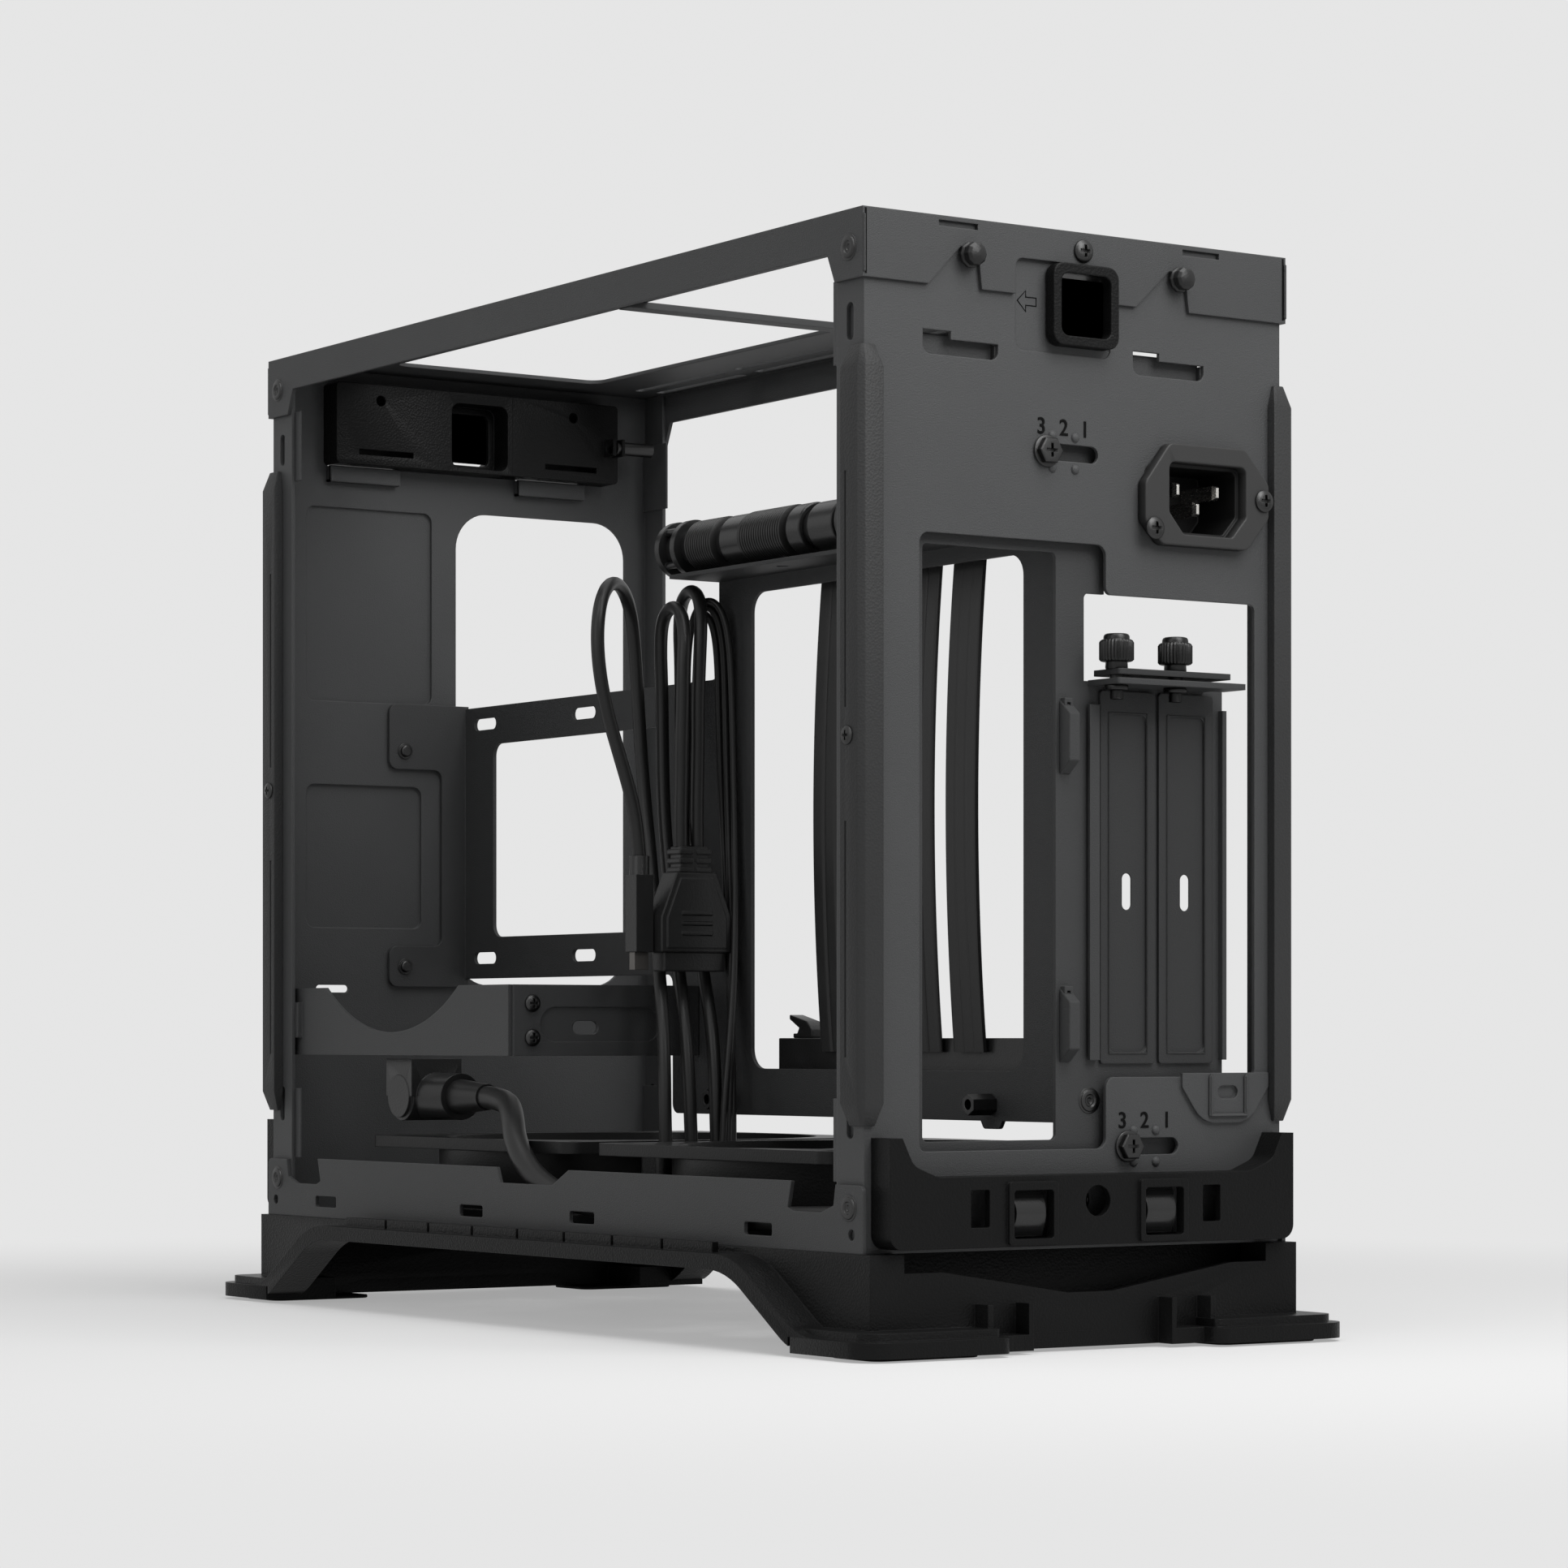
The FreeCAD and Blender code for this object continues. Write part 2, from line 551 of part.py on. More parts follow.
def rear_panel():
    low, high = FLOOR_TOP, S.frame_top - S.steel
    span = (PANEL_IN, SHELL_Y)
    half = S.port_side / 2 + S.bezel_wall
    step_top, step_low = 204.4, 73.4
    window = [(S.window_left, S.window_low, 2.0), (S.window_left, S.window_top, 3.0),
              (S.window_step, S.window_top, 3.0), (S.window_step, step_top, 2.0),
              (S.window_right, step_top, 2.0), (S.window_right, step_low, 2.0),
              (S.window_step, step_low, 3.0), (S.window_step, S.window_low, 3.0)]
    loops = [rectangle((-SHELL_X, SHELL_X), (low, high)), window,
             rectangle(about(0.0, half), about(S.port_z, half), 3.0),
             hook_slot(39.4), hook_slot(-31.2)]
    upper, lower = 241.9, 54.5
    loops.append(obround((11.0 - S.spine_travel - 2.3, 13.3), (upper - 2.3, upper + 2.3)))
    rings = [(x, 291.9, 1.5) for x in STUD_X]
    opening = [(-62.0, 225.5, 2.0), (-57.0, 220.2, 2.0), (-27.8, 220.2, 2.0), (-22.8, 225.5, 2.0),
               (-22.8, 239.3, 2.0), (-27.8, 244.6, 2.0), (-57.0, 244.6, 2.0), (-62.0, 239.3, 2.0)]
    loops.append(opening)
    sheet_body = plate("y", span, loops, rings, "RearSheet")
    lower_slot = plate("y", (PANEL_IN - 1.0, SHELL_Y + 1.0),
                       [obround((-16.8 - S.spine_travel - 2.3, -14.5), (lower - 2.3, lower + 2.3))], name="LowSlot")
    pad = [(-35.4, 74.4), (-35.4, 70.5, 2.0), (-42.5, 60.6, 9.0), (-59.0, 60.6, 9.0), (-66.0, 70.5, 2.0), (-66.0, 74.4)]
    tab = plate("y", (SHELL_Y - 0.1, SHELL_Y + 1.0), [pad, obround((-55.0, -47.8), (67.3, 70.9))], name="PullTab")
    dots = []
    for u, v in ((8.8, upper), (1.1, upper), (-19.0, lower), (-26.7, lower)):
        for side in (1, -1):
            dots.append(cylinder("y", (u, v + side * 4.3), (SHELL_Y - 0.1, SHELL_Y + 0.22), 1.1, "Dot"))
    sunk = plate("y", (SHELL_Y - 0.45, SHELL_Y + 1.0), [rectangle((-11.0, 21.2), (268.4, 294.2), 2.5)], name="SunkPlate")
    joined = fuse([sheet_body, tab] + post_folds(SHELL_Y, 1) + dots, "RearFolded")
    piece("rear_panel", cut(joined, [lower_slot, sunk], "RearPanel"))


# Front panel: the same fold, with one tall opening and two raised fields
def front_panel():
    low, high = FLOOR_TOP, S.frame_top - S.steel
    half = S.port_side / 2 + S.bezel_wall
    fields = [((11.7, 61.0), (191.8, 257.5)), ((15.6, 61.0), (118.4, 167.6))]
    loops = [rectangle((-SHELL_X, SHELL_X), (low, high)),
             rectangle((-61.7, 4.0), (101.5, 257.2), 12.0),
             obround((44.0, 56.0), (98.8, 101.2)),
             rectangle(about(0.0, half), about(S.port_z, half), 3.0),
             hook_slot(39.4), hook_slot(-31.2)]
    sheet_body = plate("y", (-SHELL_Y, -PANEL_IN), loops, [(x, 291.9, 1.5) for x in STUD_X], "FrontSheet")
    raised = [plate("y", (-SHELL_Y - 1.2, -SHELL_Y + 0.1), [rectangle(u, v, 4.0)], name="Field") for u, v in fields]
    sunk = [plate("y", (-SHELL_Y, -PANEL_IN + 0.5),
                  [rectangle((u[0] + 1.4, u[1] - 1.4), (v[0] + 1.4, v[1] - 1.4), 3.0)], name="Sunk") for u, v in fields]
    joined = fuse([sheet_body] + raised + post_folds(SHELL_Y, -1), "FrontFolded")
    piece("front_panel", cut(joined, sunk, "FrontPanel"))
    tray = plate("y", (-PANEL_IN, -PANEL_IN + 9.0),
                 [rectangle((-53.3, 53.3), (269.4, 295.6), 1.5),
                  rectangle(about(0.0, half), about(S.port_z, half), 3.0)],
                 [(37.0, 290.4, 1.7), (-36.0, 290.4, 1.7)], "Tray")
    hollow = plate("y", (-PANEL_IN - 1.0, -PANEL_IN + 7.8),
                   [rectangle((-52.0, 52.0), (270.0, 294.4), 0.4)], name="TrayHollow")
    core = plate("y", (-PANEL_IN - 2.0, -PANEL_IN + 9.5), [rectangle(about(0.0, half + 1.2), about(S.port_z, half + 0.6), 3.0)],
                 name="TrayCore")
    slits = [box((middle - 12.0, middle + 8.0), (-PANEL_IN + 6.0, -PANEL_IN + 10.0), (272.6, 274.4), "Slit")
             for middle in (37.0, -33.0)]
    shell = cut(tray, [cut(hollow, [core], "HollowRing")] + slits, "TrayShell")
    ears = [box((x, x + 1.2), (-PANEL_IN + 9.0, -PANEL_IN + 15.0), (278.2, 283.8), "Ear") for x in (-52.5, -49.0)]
    pin_bore = cylinder("x", (-PANEL_IN + 12.5, 281.0), (-65.0, -47.0), 2.3, "PinBore")
    eared = cut(fuse([shell] + ears, "TrayEars"), [pin_bore], "TrayBored")
    edge = half + 1.8
    beside = ((edge, 60.0), (-60.0, -edge))
    bays = []
    for name, gone in (("MiddleBay", beside), ("LeftBay", [(-60.0, edge)]), ("RightBay", [(-edge, 60.0)])):
        bays.append(cut(eared, [box(span, (-PANEL_IN - 1.0, -PANEL_IN + 16.0), (260.0, 300.0), "Beside") for span in gone], name))
    piece("front_tray", group(bays, "FrontTray"))
    piece("tray_pin", cylinder("x", (-PANEL_IN + 12.5, 281.0), (-64.0, -50.0), 2.2, "TrayPin"))


# Top frame: ring-shaped folded cap with side rails and deep end flanges
def collar():
    """The rear or front flange of the top frame, in X and Z."""
    low, top = S.frame_top - S.collar_high, S.frame_top
    gate = S.port_side / 2 + S.bezel_wall + 1.0
    return [(HX, top), (HX, low), (50.6, low), (40.2, low + 10.8), (34.6, low + 11.0), (33.2, low),
            (22.0, low), (22.0, low + 9.7, 2.5), (-gate, low + 9.7, 2.5), (-gate, low), (-19.0, low),
            (-30.6, low + 10.8), (-36.0, low + 10.8), (-37.5, low), (-HX, low), (-HX, top),
            (-48.1, top), (-48.1, top - 2.8), (-35.2, top - 2.8), (-35.2, top),
            (34.6, top), (34.6, top - 2.8), (47.4, top - 2.8), (47.4, top)]


def top_frame():
    top, under = S.frame_top, S.frame_top - S.steel
    hole_x, hole_y = HX - S.top_side_ledge, HY - S.top_end_ledge
    loops = [rectangle((-HX, HX), (-HY, HY)), rectangle((-hole_x, hole_x), (-hole_y, hole_y), 5.0)]
    for i in range(-2, 3):
        middle = i * S.top_slot_pitch - 5.0
        for across in (-58.0, -66.3, 58.0, 66.3):
            loops.append(obround(about(across, S.top_slot_wide / 2), about(middle, S.top_slot_long / 2)))
    lid = plate("z", (under, top), loops, name="Lid")
    tab = S.frame_top - S.collar_high
    rail_low = top - S.rail_high
    rail = [(-HY, tab), (-HY + 13.0, tab), (-HY + 16.5, rail_low), (HY - 16.5, rail_low), (HY - 13.0, tab),
            (HY, tab), (HY, top), (-HY, top)]
    parts = [lid]
    for side in (1, -1):
        span = (SHELL_X, HX) if side > 0 else (-HX, -SHELL_X)
        parts.append(plate("x", span, [rail], name="Rail"))
    parts.append(plate("y", (SHELL_Y, HY), [collar()], [(-0.6, 296.5, 1.7)], "RearFlange"))
    parts.append(plate("y", (-HY, -SHELL_Y), [collar()], [(-0.6, 296.5, 1.7)], "FrontFlange"))
    piece("top_frame", fuse(parts, "TopFrame"))
    piece("cross_bar", box((-hole_x - 6.0, hole_x + 6.0), (2.5, 8.5), (under - 2.0, under), "CrossBar"))


# Corner guards: moulded strips with tapered ends, one round each corner
def guard(side, end):
    """An L-shaped strip; side and end give its corner."""
    out_x, out_y = SHELL_X + S.guard_thick + 0.2, SHELL_Y + S.guard_thick
    full = [(out_x, SHELL_Y - 6.5), (out_x, out_y - 1.6), (out_x - 1.6, out_y), (66.5, out_y),
            (66.5, SHELL_Y), (SHELL_X, SHELL_Y), (SHELL_X, SHELL_Y - 6.5)]
    slim = [(out_x - 2.0, SHELL_Y - 5.0), (out_x - 2.0, out_y - 2.8), (out_x - 2.8, out_y - 2.0),
            (68.0, out_y - 2.0), (68.0, SHELL_Y), (SHELL_X, SHELL_Y), (SHELL_X, SHELL_Y - 5.0)]

    def turned(loop):
        return [(side * corner[0], end * corner[1]) for corner in loop]

    low, top = S.guard_low + S.guard_tip, S.guard_top - S.guard_tip
    parts = [plate("z", (low, top), [turned(full)], name="GuardRun")]
    for level, tip in ((low, S.guard_low), (top, S.guard_top)):
        loft = doc.addObject("Part::Loft", "GuardTip")
        loft.Sections = [draw("z", level, turned(full)), draw("z", tip, turned(slim))]
        loft.Solid = True
        loft.Ruled = True
        parts.append(loft)
    joined = fuse(parts, "Guard")
    groove_low, groove_top = S.guard_low + 18.0, S.guard_top - 95.0
    face = side * out_x
    across = (face - 0.5, face + 0.5)
    along = (SHELL_Y - 4.4, SHELL_Y - 3.6) if end > 0 else (3.6 - SHELL_Y, 4.4 - SHELL_Y)
    grooves = [box(across, along, (groove_low, groove_low + 62.0), "Groove"),
               box(across, along, (groove_top, groove_top + 62.0), "Groove")]
    return cut(joined, grooves, "GuardGrooved")


def guards():
    names = {(1, 1): "guard_rear_left", (-1, 1): "guard_rear_right",
             (1, -1): "guard_front_left", (-1, -1): "guard_front_right"}
    for (side, end), name in names.items():
        piece(name, guard(side, end))
    heads = []
    out = SHELL_X + S.guard_thick + 0.2
    for side in (1, -1):
        for end in (1, -1):
            span = (out, out + 0.9) if side > 0 else (-out - 0.9, -out)
            head = cylinder("x", (end * (SHELL_Y - 3.0), 163.3), span, 2.5, "GuardHead")
            heads.append(head)
    piece("guard_screws", group(heads, "GuardScrews"))


# Rear and front lower trims: thin mouldings over the lower panel ends
def trim(end, name):
    out, deep = SHELL_Y + 8.7, 2.2
    half = 68.5
    low = S.floor_low + 1.2
    lip = 47.4
    brow = [(-half, low, 4.0), (half, low, 4.0), (half, 57.8), (half - 4.0, 57.8), (half - 7.6, 50.5, 5.0),
            (half - 15.5, lip, 5.0), (15.5 - half, lip, 5.0), (7.6 - half, 50.5, 5.0), (4.0 - half, 57.8), (-half, 57.8)]
    wall = deep
    inner = [(wall - half, low + wall, 3.0), (half - wall, low + wall, 3.0), (half - wall, 52.0), (half - 9.0, 48.5),
             (half - 16.0, lip - wall), (16.0 - half, lip - wall), (9.0 - half, 48.5), (wall - half, 52.0)]
    span = (SHELL_Y, out) if end > 0 else (-out, -SHELL_Y)
    hollow = (SHELL_Y - 1.0, out - deep) if end > 0 else (deep - out, 1.0 - SHELL_Y)
    through = (SHELL_Y - 1.0, out + 1.0) if end > 0 else (-out - 1.0, 1.0 - SHELL_Y)
    body = plate("y", span, [brow], name="TrimBody")
    tools = [plate("y", hollow, [inner], name="TrimHollow")]
    for middle in (-22.2, 22.2):
        tools.append(plate("y", through, [rectangle(about(middle, 6.6), (30.6, 43.6), 1.0)], name="ClipHole"))
    for middle in (-39.3, 39.3):
        tools.append(plate("y", through, [rectangle(about(middle, 3.1), (33.9, 43.9), 0.5)], name="RectHole"))
    tools.append(cylinder("y", (0.0, 40.3), through, 4.2, "ScrewHole"))
    body = cut(body, tools, "TrimOpened")
    frames = []
    edge = (out - deep, out + 1.0) if end > 0 else (-out - 1.0, deep - out)
    for middle in (-22.2, 22.2):
        frames.append(plate("y", edge, [rectangle(about(middle, 8.2), (29.0, 45.8), 1.0),
                                        rectangle(about(middle, 6.6), (30.6, 43.6), 1.0)], name="ClipFrame"))
    piece(name, fuse([body] + frames, "Trim"))


def clip_springs():
    """Curved spring tongues that stand in the rear trim's two windows."""
    tongues = []
    back = SHELL_Y
    for middle in (-22.2, 22.2):
        across = about(middle, 5.4)
        arc = doc.addObject("Part::Cylinder", "TongueOuter")
        arc.Radius = 6.4
        bind(arc, "Height", across[1] - across[0])
        place(arc, across[0], back + 0.3, 37.0, ALONG["x"])
        bore = doc.addObject("Part::Cylinder", "TongueInner")
        bore.Radius = 5.5
        bind(bore, "Height", across[1] - across[0] + 2.0)
        place(bore, across[0] - 1.0, back + 0.3, 37.0, ALONG["x"])
        behind = box((across[0] - 1.0, across[1] + 1.0), (back - 9.0, back), (28.0, 46.0), "Behind")
        tongues.append(cut(arc, [bore, behind], "Tongue"))
    piece("clip_springs", group(tongues, "ClipSprings"))


# Cable port bezels: moulded square rings that line the ports
def bezel(end, name):
    half_in, wall = S.port_side / 2, S.bezel_wall
    span = (PANEL_IN - 6.0, HY + 2.6) if end > 0 else (-HY - 2.6, -PANEL_IN)
    rim = (SHELL_Y + 0.05, HY + 2.6) if end > 0 else (-HY - 2.6, -SHELL_Y)
    hole = rectangle(about(0.0, half_in), about(S.port_z, half_in), 2.4)
    sleeve = plate("y", span, [rectangle(about(0.0, half_in + wall - 0.1), about(S.port_z, half_in + wall - 0.1), 2.9), hole],
                   name="Sleeve")
    lip = plate("y", rim, [rectangle(about(0.0, half_in + wall + 0.5), about(S.port_z, half_in + wall + 0.5), 3.4), hole], name="Lip")
    piece(name, fuse([sleeve, lip], "Bezel"))


# Fans: duct with mounting flanges and stator, and a nine-bladed impeller
BLADES = 9


def fan(end):
    middle = FANS[end]
    half = S.fan_side / 2
    holes = [(u * (S.fan_hole_pitch / 2), middle + v * (S.fan_hole_pitch / 2), S.fan_hole_r)
             for u in (-1, 1) for v in (-1, 1)]
    bore = [(0.0, middle, S.fan_bore)]
    flange = 3.6
    square = rectangle((-half, half), (middle - half, middle + half), 5.0)
    parts = [plate("z", (FAN_LOW, FAN_LOW + flange), [square], bore + holes, "LowFlange"),
             plate("z", (FAN_TOP - flange, FAN_TOP), [square], bore + holes, "TopFlange"),
             cut(cylinder("z", (0.0, middle), (FAN_LOW, FAN_TOP), half - 0.2, "Barrel"),
                 [cylinder("z", (0.0, middle), (FAN_LOW - 1.0, FAN_TOP + 1.0), S.fan_bore, "Duct")], "Duct")]
    parts.append(cylinder("z", (0.0, middle), (FAN_LOW, FAN_LOW + 3.0), S.fan_hub_r + 1.0, "Stator"))
    for i in range(4):
        strut = doc.addObject("Part::Box", "Strut")
        bind(strut, "Length", S.fan_bore + 1.0)
        strut.Width, strut.Height = 3.4, 2.6
        turn = Rotation(Vector(0, 0, 1), 45 + 90 * i)
        offset = turn.multVec(Vector(0, -1.7, 0))
        parts.append(place(strut, offset.x, middle + offset.y, FAN_LOW, turn))
    bearing = cylinder("z", (0.0, middle), (FAN_LOW - 1.0, FAN_LOW + 4.0), S.fan_shaft_r + S.shaft_gap, "Bearing")
    piece(f"fan_frame_{end}", cut(fuse(parts, "FanBody"), [bearing], "FanFrame"))
    piece(f"fan_impeller_{end}", impeller(end, middle))


def blade_section(radius, turn, pitch, chord, thick):
    """A bowed strip with blunt edges, standing across a radius of the fan."""
    middle = Vector(radius * math.cos(turn), radius * math.sin(turn), 0)
    around = Vector(-math.sin(turn), math.cos(turn), 0)
    half, bow, edge = chord / 2, 0.09 * chord, 0.3

    def at(along, rise):
        return (middle + around * (along * math.cos(pitch) - rise * math.sin(pitch))
                + Vector(0, 0, along * math.sin(pitch) + rise * math.cos(pitch)))

    low = [at(-half, -edge), at(0, bow - thick / 2), at(half, -edge)]
    high = [at(half, edge), at(0, bow + thick / 2), at(-half, edge)]
    return Part.Wire([Part.Arc(*low).toShape(), Part.LineSegment(low[2], high[0]).toShape(),
                      Part.Arc(*high).toShape(), Part.LineSegment(high[2], low[0]).toShape()])


def impeller(end, middle):
    """Hub with swept blades lofted from root to tip, trimmed to the tip circle."""
    hub_r, tip_r = number(S.fan_hub_r), number(S.fan_bore - S.fan_tip_gap)
    low, high = number(FAN_LOW) + 4.0, number(FAN_TOP) - 1.6
    half = (high - low) / 2
    hub = Part.makeCylinder(hub_r, 2 * half, Vector(0, 0, -half))
    stations = [(hub_r - 4.0, 0.0, 46, 17.0, 2.0), ((hub_r + tip_r) / 2, 0.2, 36, 24.0, 1.7),
                (tip_r + 3.7, 0.42, 27, 32.0, 1.4)]
    rough = Part.makeLoft([blade_section(radius, turn, math.radians(pitch), chord, thick)
                           for radius, turn, pitch, chord, thick in stations], True, False)
    blade = rough.common(Part.makeCylinder(tip_r, 4 * half, Vector(0, 0, -2 * half)))
    blades = []
    for i in range(BLADES):
        copy = blade.copy()
        copy.rotate(Vector(), Vector(0, 0, 1), 360.0 * i / BLADES)
        blades.append(copy)
    rotor = doc.addObject("Part::Feature", "Impeller")
    shaft = Part.makeCylinder(number(S.fan_shaft_r), 4.6, Vector(0, 0, -half - 3.6))
    rotor.Shape = hub.multiFuse(blades + [shaft])
    return place(rotor, 0.0, middle, (low + high) / 2)


# Dust filter: tray under the floor that pulls out at the front
def dust_filter():
    high = S.floor_low - 0.5
    low = high - 2.4
    half = S.base_body_wide / 2 - 15.5
    front, rear = 2.0 - S.base_body_long / 2, 152.0
    loops = [rectangle((-half, half), (front, rear), 3.0)]
    count = 6
    pitch = (rear - front - 4.0) / count
    for i in range(count):
        start = front + 4.0 + i * pitch
        for across in ((-half + 4.0, -1.5), (1.5, half - 4.0)):
            loops.append(rectangle(across, (start, start + pitch - 3.0), 1.5))
    return plate("z", (low, high), loops, name="FilterTray"), low, high, half


def filter_piece():
    tray, low, high, half = dust_filter()
    out = S.base_body_long / 2
    grip = S.base_body_wide / 2 - 3.5
    handle = plate("z", (low, high), [[(-half, -out + 3.0), (-half, -out - 0.6), (-grip, -out - 0.6), (-grip, -out - 9.0, 3.0),
                                       (grip, -out - 9.0, 3.0), (grip, -out - 0.6), (half, -out - 0.6), (half, -out + 3.0)]],
                   name="Handle")
    piece("dust_filter", fuse([tray, handle], "DustFilter"))


# Spine: the folded sheet that parts the board side from the card side
def spine_tray():
    face, back = SPINE_FACE, S.spine_x
    rear = SLIDE_IN
    front = -PANEL_IN + S.seat_gap
    deck = S.shelf_top
    outline = [(front, 103.5), (-36.0, 103.5, 3.0), (-36.0, S.spine_low, 3.0), (S.standoff_y - 5.0, S.spine_low),
               (S.standoff_y - 3.6, S.spine_low - 2.2, 1.5), (S.standoff_y + 3.6, S.spine_low - 2.2, 1.5),
               (S.standoff_y + 5.0, S.spine_low), (rear, S.spine_low), (rear, deck), (-10.0, deck),
               (-10.0, 192.4, 4.0), (front, 192.4)]
    drive_y, drive_z = -149.8, 110.2
    loops = [outline, rectangle((-144.5, -40.0), (117.0, 180.0), 4.0), rectangle((7.6, 142.3), (74.9, 217.0), 6.0)]
    for u in (drive_y, drive_y + S.drive_step_y):
        for v in (drive_z, drive_z + S.drive_step_z):
            loops.append(obround(about(u, S.drive_slot_long / 2), about(v, S.drive_slot_wide / 2)))
    wall = plate("x", (back, face), loops, name="SpineWall")
    ledge = plate("z", (deck - S.steel, deck), [rectangle((back, back + S.shelf_wide), (-10.0, rear))],
                  [(back + 12.0, 40.0, 1.8)], "Shelf")
    tabs = [(back, 100.8), (29.7, 100.8, 3.0), (29.7, 114.1, 3.0), (10.0, 114.1, 3.0), (10.0, 171.9, 3.0),
            (29.7, 171.9, 3.0), (29.7, 193.2, 3.0), (back, 193.2)]
    flange = plate("y", (front, front + S.steel), [tabs], name="FrontTabs")
    piece("spine_tray", fuse([wall, ledge, flange], "SpineTray"))
    length = S.standoff_long
    posts = []
    for y in (S.standoff_y, S.standoff_y - S.board_hole_step):
        post = prism("x", (y, S.standoff_z), (face, face + length), S.standoff_flats, "Standoff")
        bore = cylinder("x", (y, S.standoff_z), (face + 1.0, face + length + 1.0), S.standoff_bore, "Thread")
        posts.append(cut(post, [bore], "StandoffBored"))
    piece("standoffs", group(posts, "Standoffs"))


# Sliding rear plate: I/O aperture, slot openings, guide rails, clamp ledge
def io_plate():
    span = (SLIDE_IN, SLIDE_OUT)
    right = -53.0
    left = SHELL_X - S.steel - 3.2
    io_right = S.io_left
    outline = [(left, 50.5), (left, 221.0), (20.0, 221.0), (20.0, 248.0, 2.0), (3.0, 248.0, 2.0), (3.0, 221.0),
               (-11.5, 221.0), (-11.5, 204.8), (-4.6, 204.8, 1.5), (-4.6, 181.0), (right, 181.0), (right, 50.5)]
    loops = [outline, rectangle((io_right, io_right + S.io_wide), (S.io_low, S.io_low + S.io_high), 1.5)]
    for i in (0, 1):
        middle = S.slot_edge + S.slot_pitch * (0.5 - i)
        loops.append(rectangle(about(middle, 6.4), (S.cover_low + 4.0, S.cover_top - 8.0), 1.5))
    rings = [(11.0, 241.9, 1.8), (-16.8, 54.5, 1.8), (-6.4, 67.0, 1.4)]
    parts = [plate("y", span, loops, rings, "SlidePlate")]
    rail_out = PANEL_IN - S.seat_gap
    rail_high = (S.cover_low + 1.0, S.cover_top - 4.0)
    parts.append(box((-53.0, -51.6), (SLIDE_OUT, rail_out), rail_high, "RailWeb"))
    parts.append(fuse([box((-8.6, -7.2), (SLIDE_OUT, rail_out), rail_high, "RailWeb"),
                       box((-8.6, -5.2), (rail_out - 1.0, rail_out), rail_high, "RailLip")], "Rail"))
    for low in (80.0, 158.0):
        parts.append(plate("y", (SLIDE_OUT, rail_out), [[(0.6, low), (3.4, low), (3.4, low + 18.0), (0.6, low + 18.0)],
                                                        [(1.4, low + 1.2), (2.6, low + 1.2), (2.6, low + 16.8), (1.4, low + 16.8)]],
                           name="Lance"))
    ledge_low = S.cover_top + 1.0
    neck = [(-6.0, SLIDE_OUT), (-6.0, 175.5, 1.0), (-50.6, 175.5, 1.0), (-50.6, SHELL_Y + S.seat_gap),
            (-46.2, SHELL_Y + S.seat_gap), (-46.2, SLIDE_OUT)]
    screw_x = [S.slot_edge + S.slot_pitch * (0.5 - i) + 9.6 for i in (0, 1)]
    holes = [(x, 170.0, 2.1) for x in screw_x]
    parts.append(plate("z", (ledge_low, ledge_low + 1.6), [neck], holes, "ClampLedge"))
    piece("io_plate", group(parts, "IoPlate"))
    clamp_low = ledge_low + 1.6 + 1.0
    piece("slot_clamp", plate("z", (clamp_low, clamp_low + 1.6), [rectangle((-46.0, -7.0), (162.5, 174.6), 1.0)], holes, "SlotClamp"))
    screws = []
    for x in screw_x:
        base_z = clamp_low + 1.6
        shaft = cylinder("z", (x, 170.0), (ledge_low - 4.0, base_z + 0.5), 1.9, "Shaft")
        neck_up = cylinder("z", (x, 170.0), (base_z, base_z + 2.0), 3.0, "Neck")
        knob = cylinder("z", (x, 170.0), (base_z + 2.0, base_z + 8.6), 5.4, "Knob")
        cap = cylinder("z", (x, 170.0), (base_z + 8.6, base_z + 10.4), 3.6, "Cap")
        washer = cylinder("z", (x, 170.0), (ledge_low - 1.6, ledge_low), 3.3, "Washer")
        teeth = []
        for i in range(18):
            angle = 2 * math.pi * i / 18
            teeth.append(cylinder("z", (x + 5.5 * math.cos(angle), 170.0 + 5.5 * math.sin(angle)),
                                  (base_z + 1.9, base_z + 8.7), 0.35, "Knurl"))
        knob = cut(knob, teeth, "Knurled")
        screws.append(fuse([shaft, neck_up, knob, cap, washer], "Thumbscrew"))
    piece("thumbscrews", group(screws, "Thumbscrews"))


def slot_covers():
    thick = 1.0
    for i in (0, 1):
        middle = S.slot_edge + S.slot_pitch * (0.5 - i)
        half = S.cover_wide / 2
        span = (SLIDE_OUT, SLIDE_OUT + thick)
        body = plate("y", span, [rectangle(about(middle, half), (S.cover_low, S.cover_top), 1.0)], name="CoverSheet")
        hollow = plate("y", (SLIDE_OUT + 0.4, SLIDE_OUT + 2.0),
                       [rectangle(about(middle, half - 2.6), (S.cover_low + 3.0, S.cover_top - 6.0), 3.0)], name="CoverField")
        window = plate("y", (SLIDE_OUT - 1.0, SLIDE_OUT + 2.0),
                       [obround(about(middle, 1.6), (S.cover_low + 42.0, S.cover_low + 52.0))], name="CoverSlot")
        piece(f"slot_cover_{i + 1}", cut(body, [hollow, window], "SlotCover"))


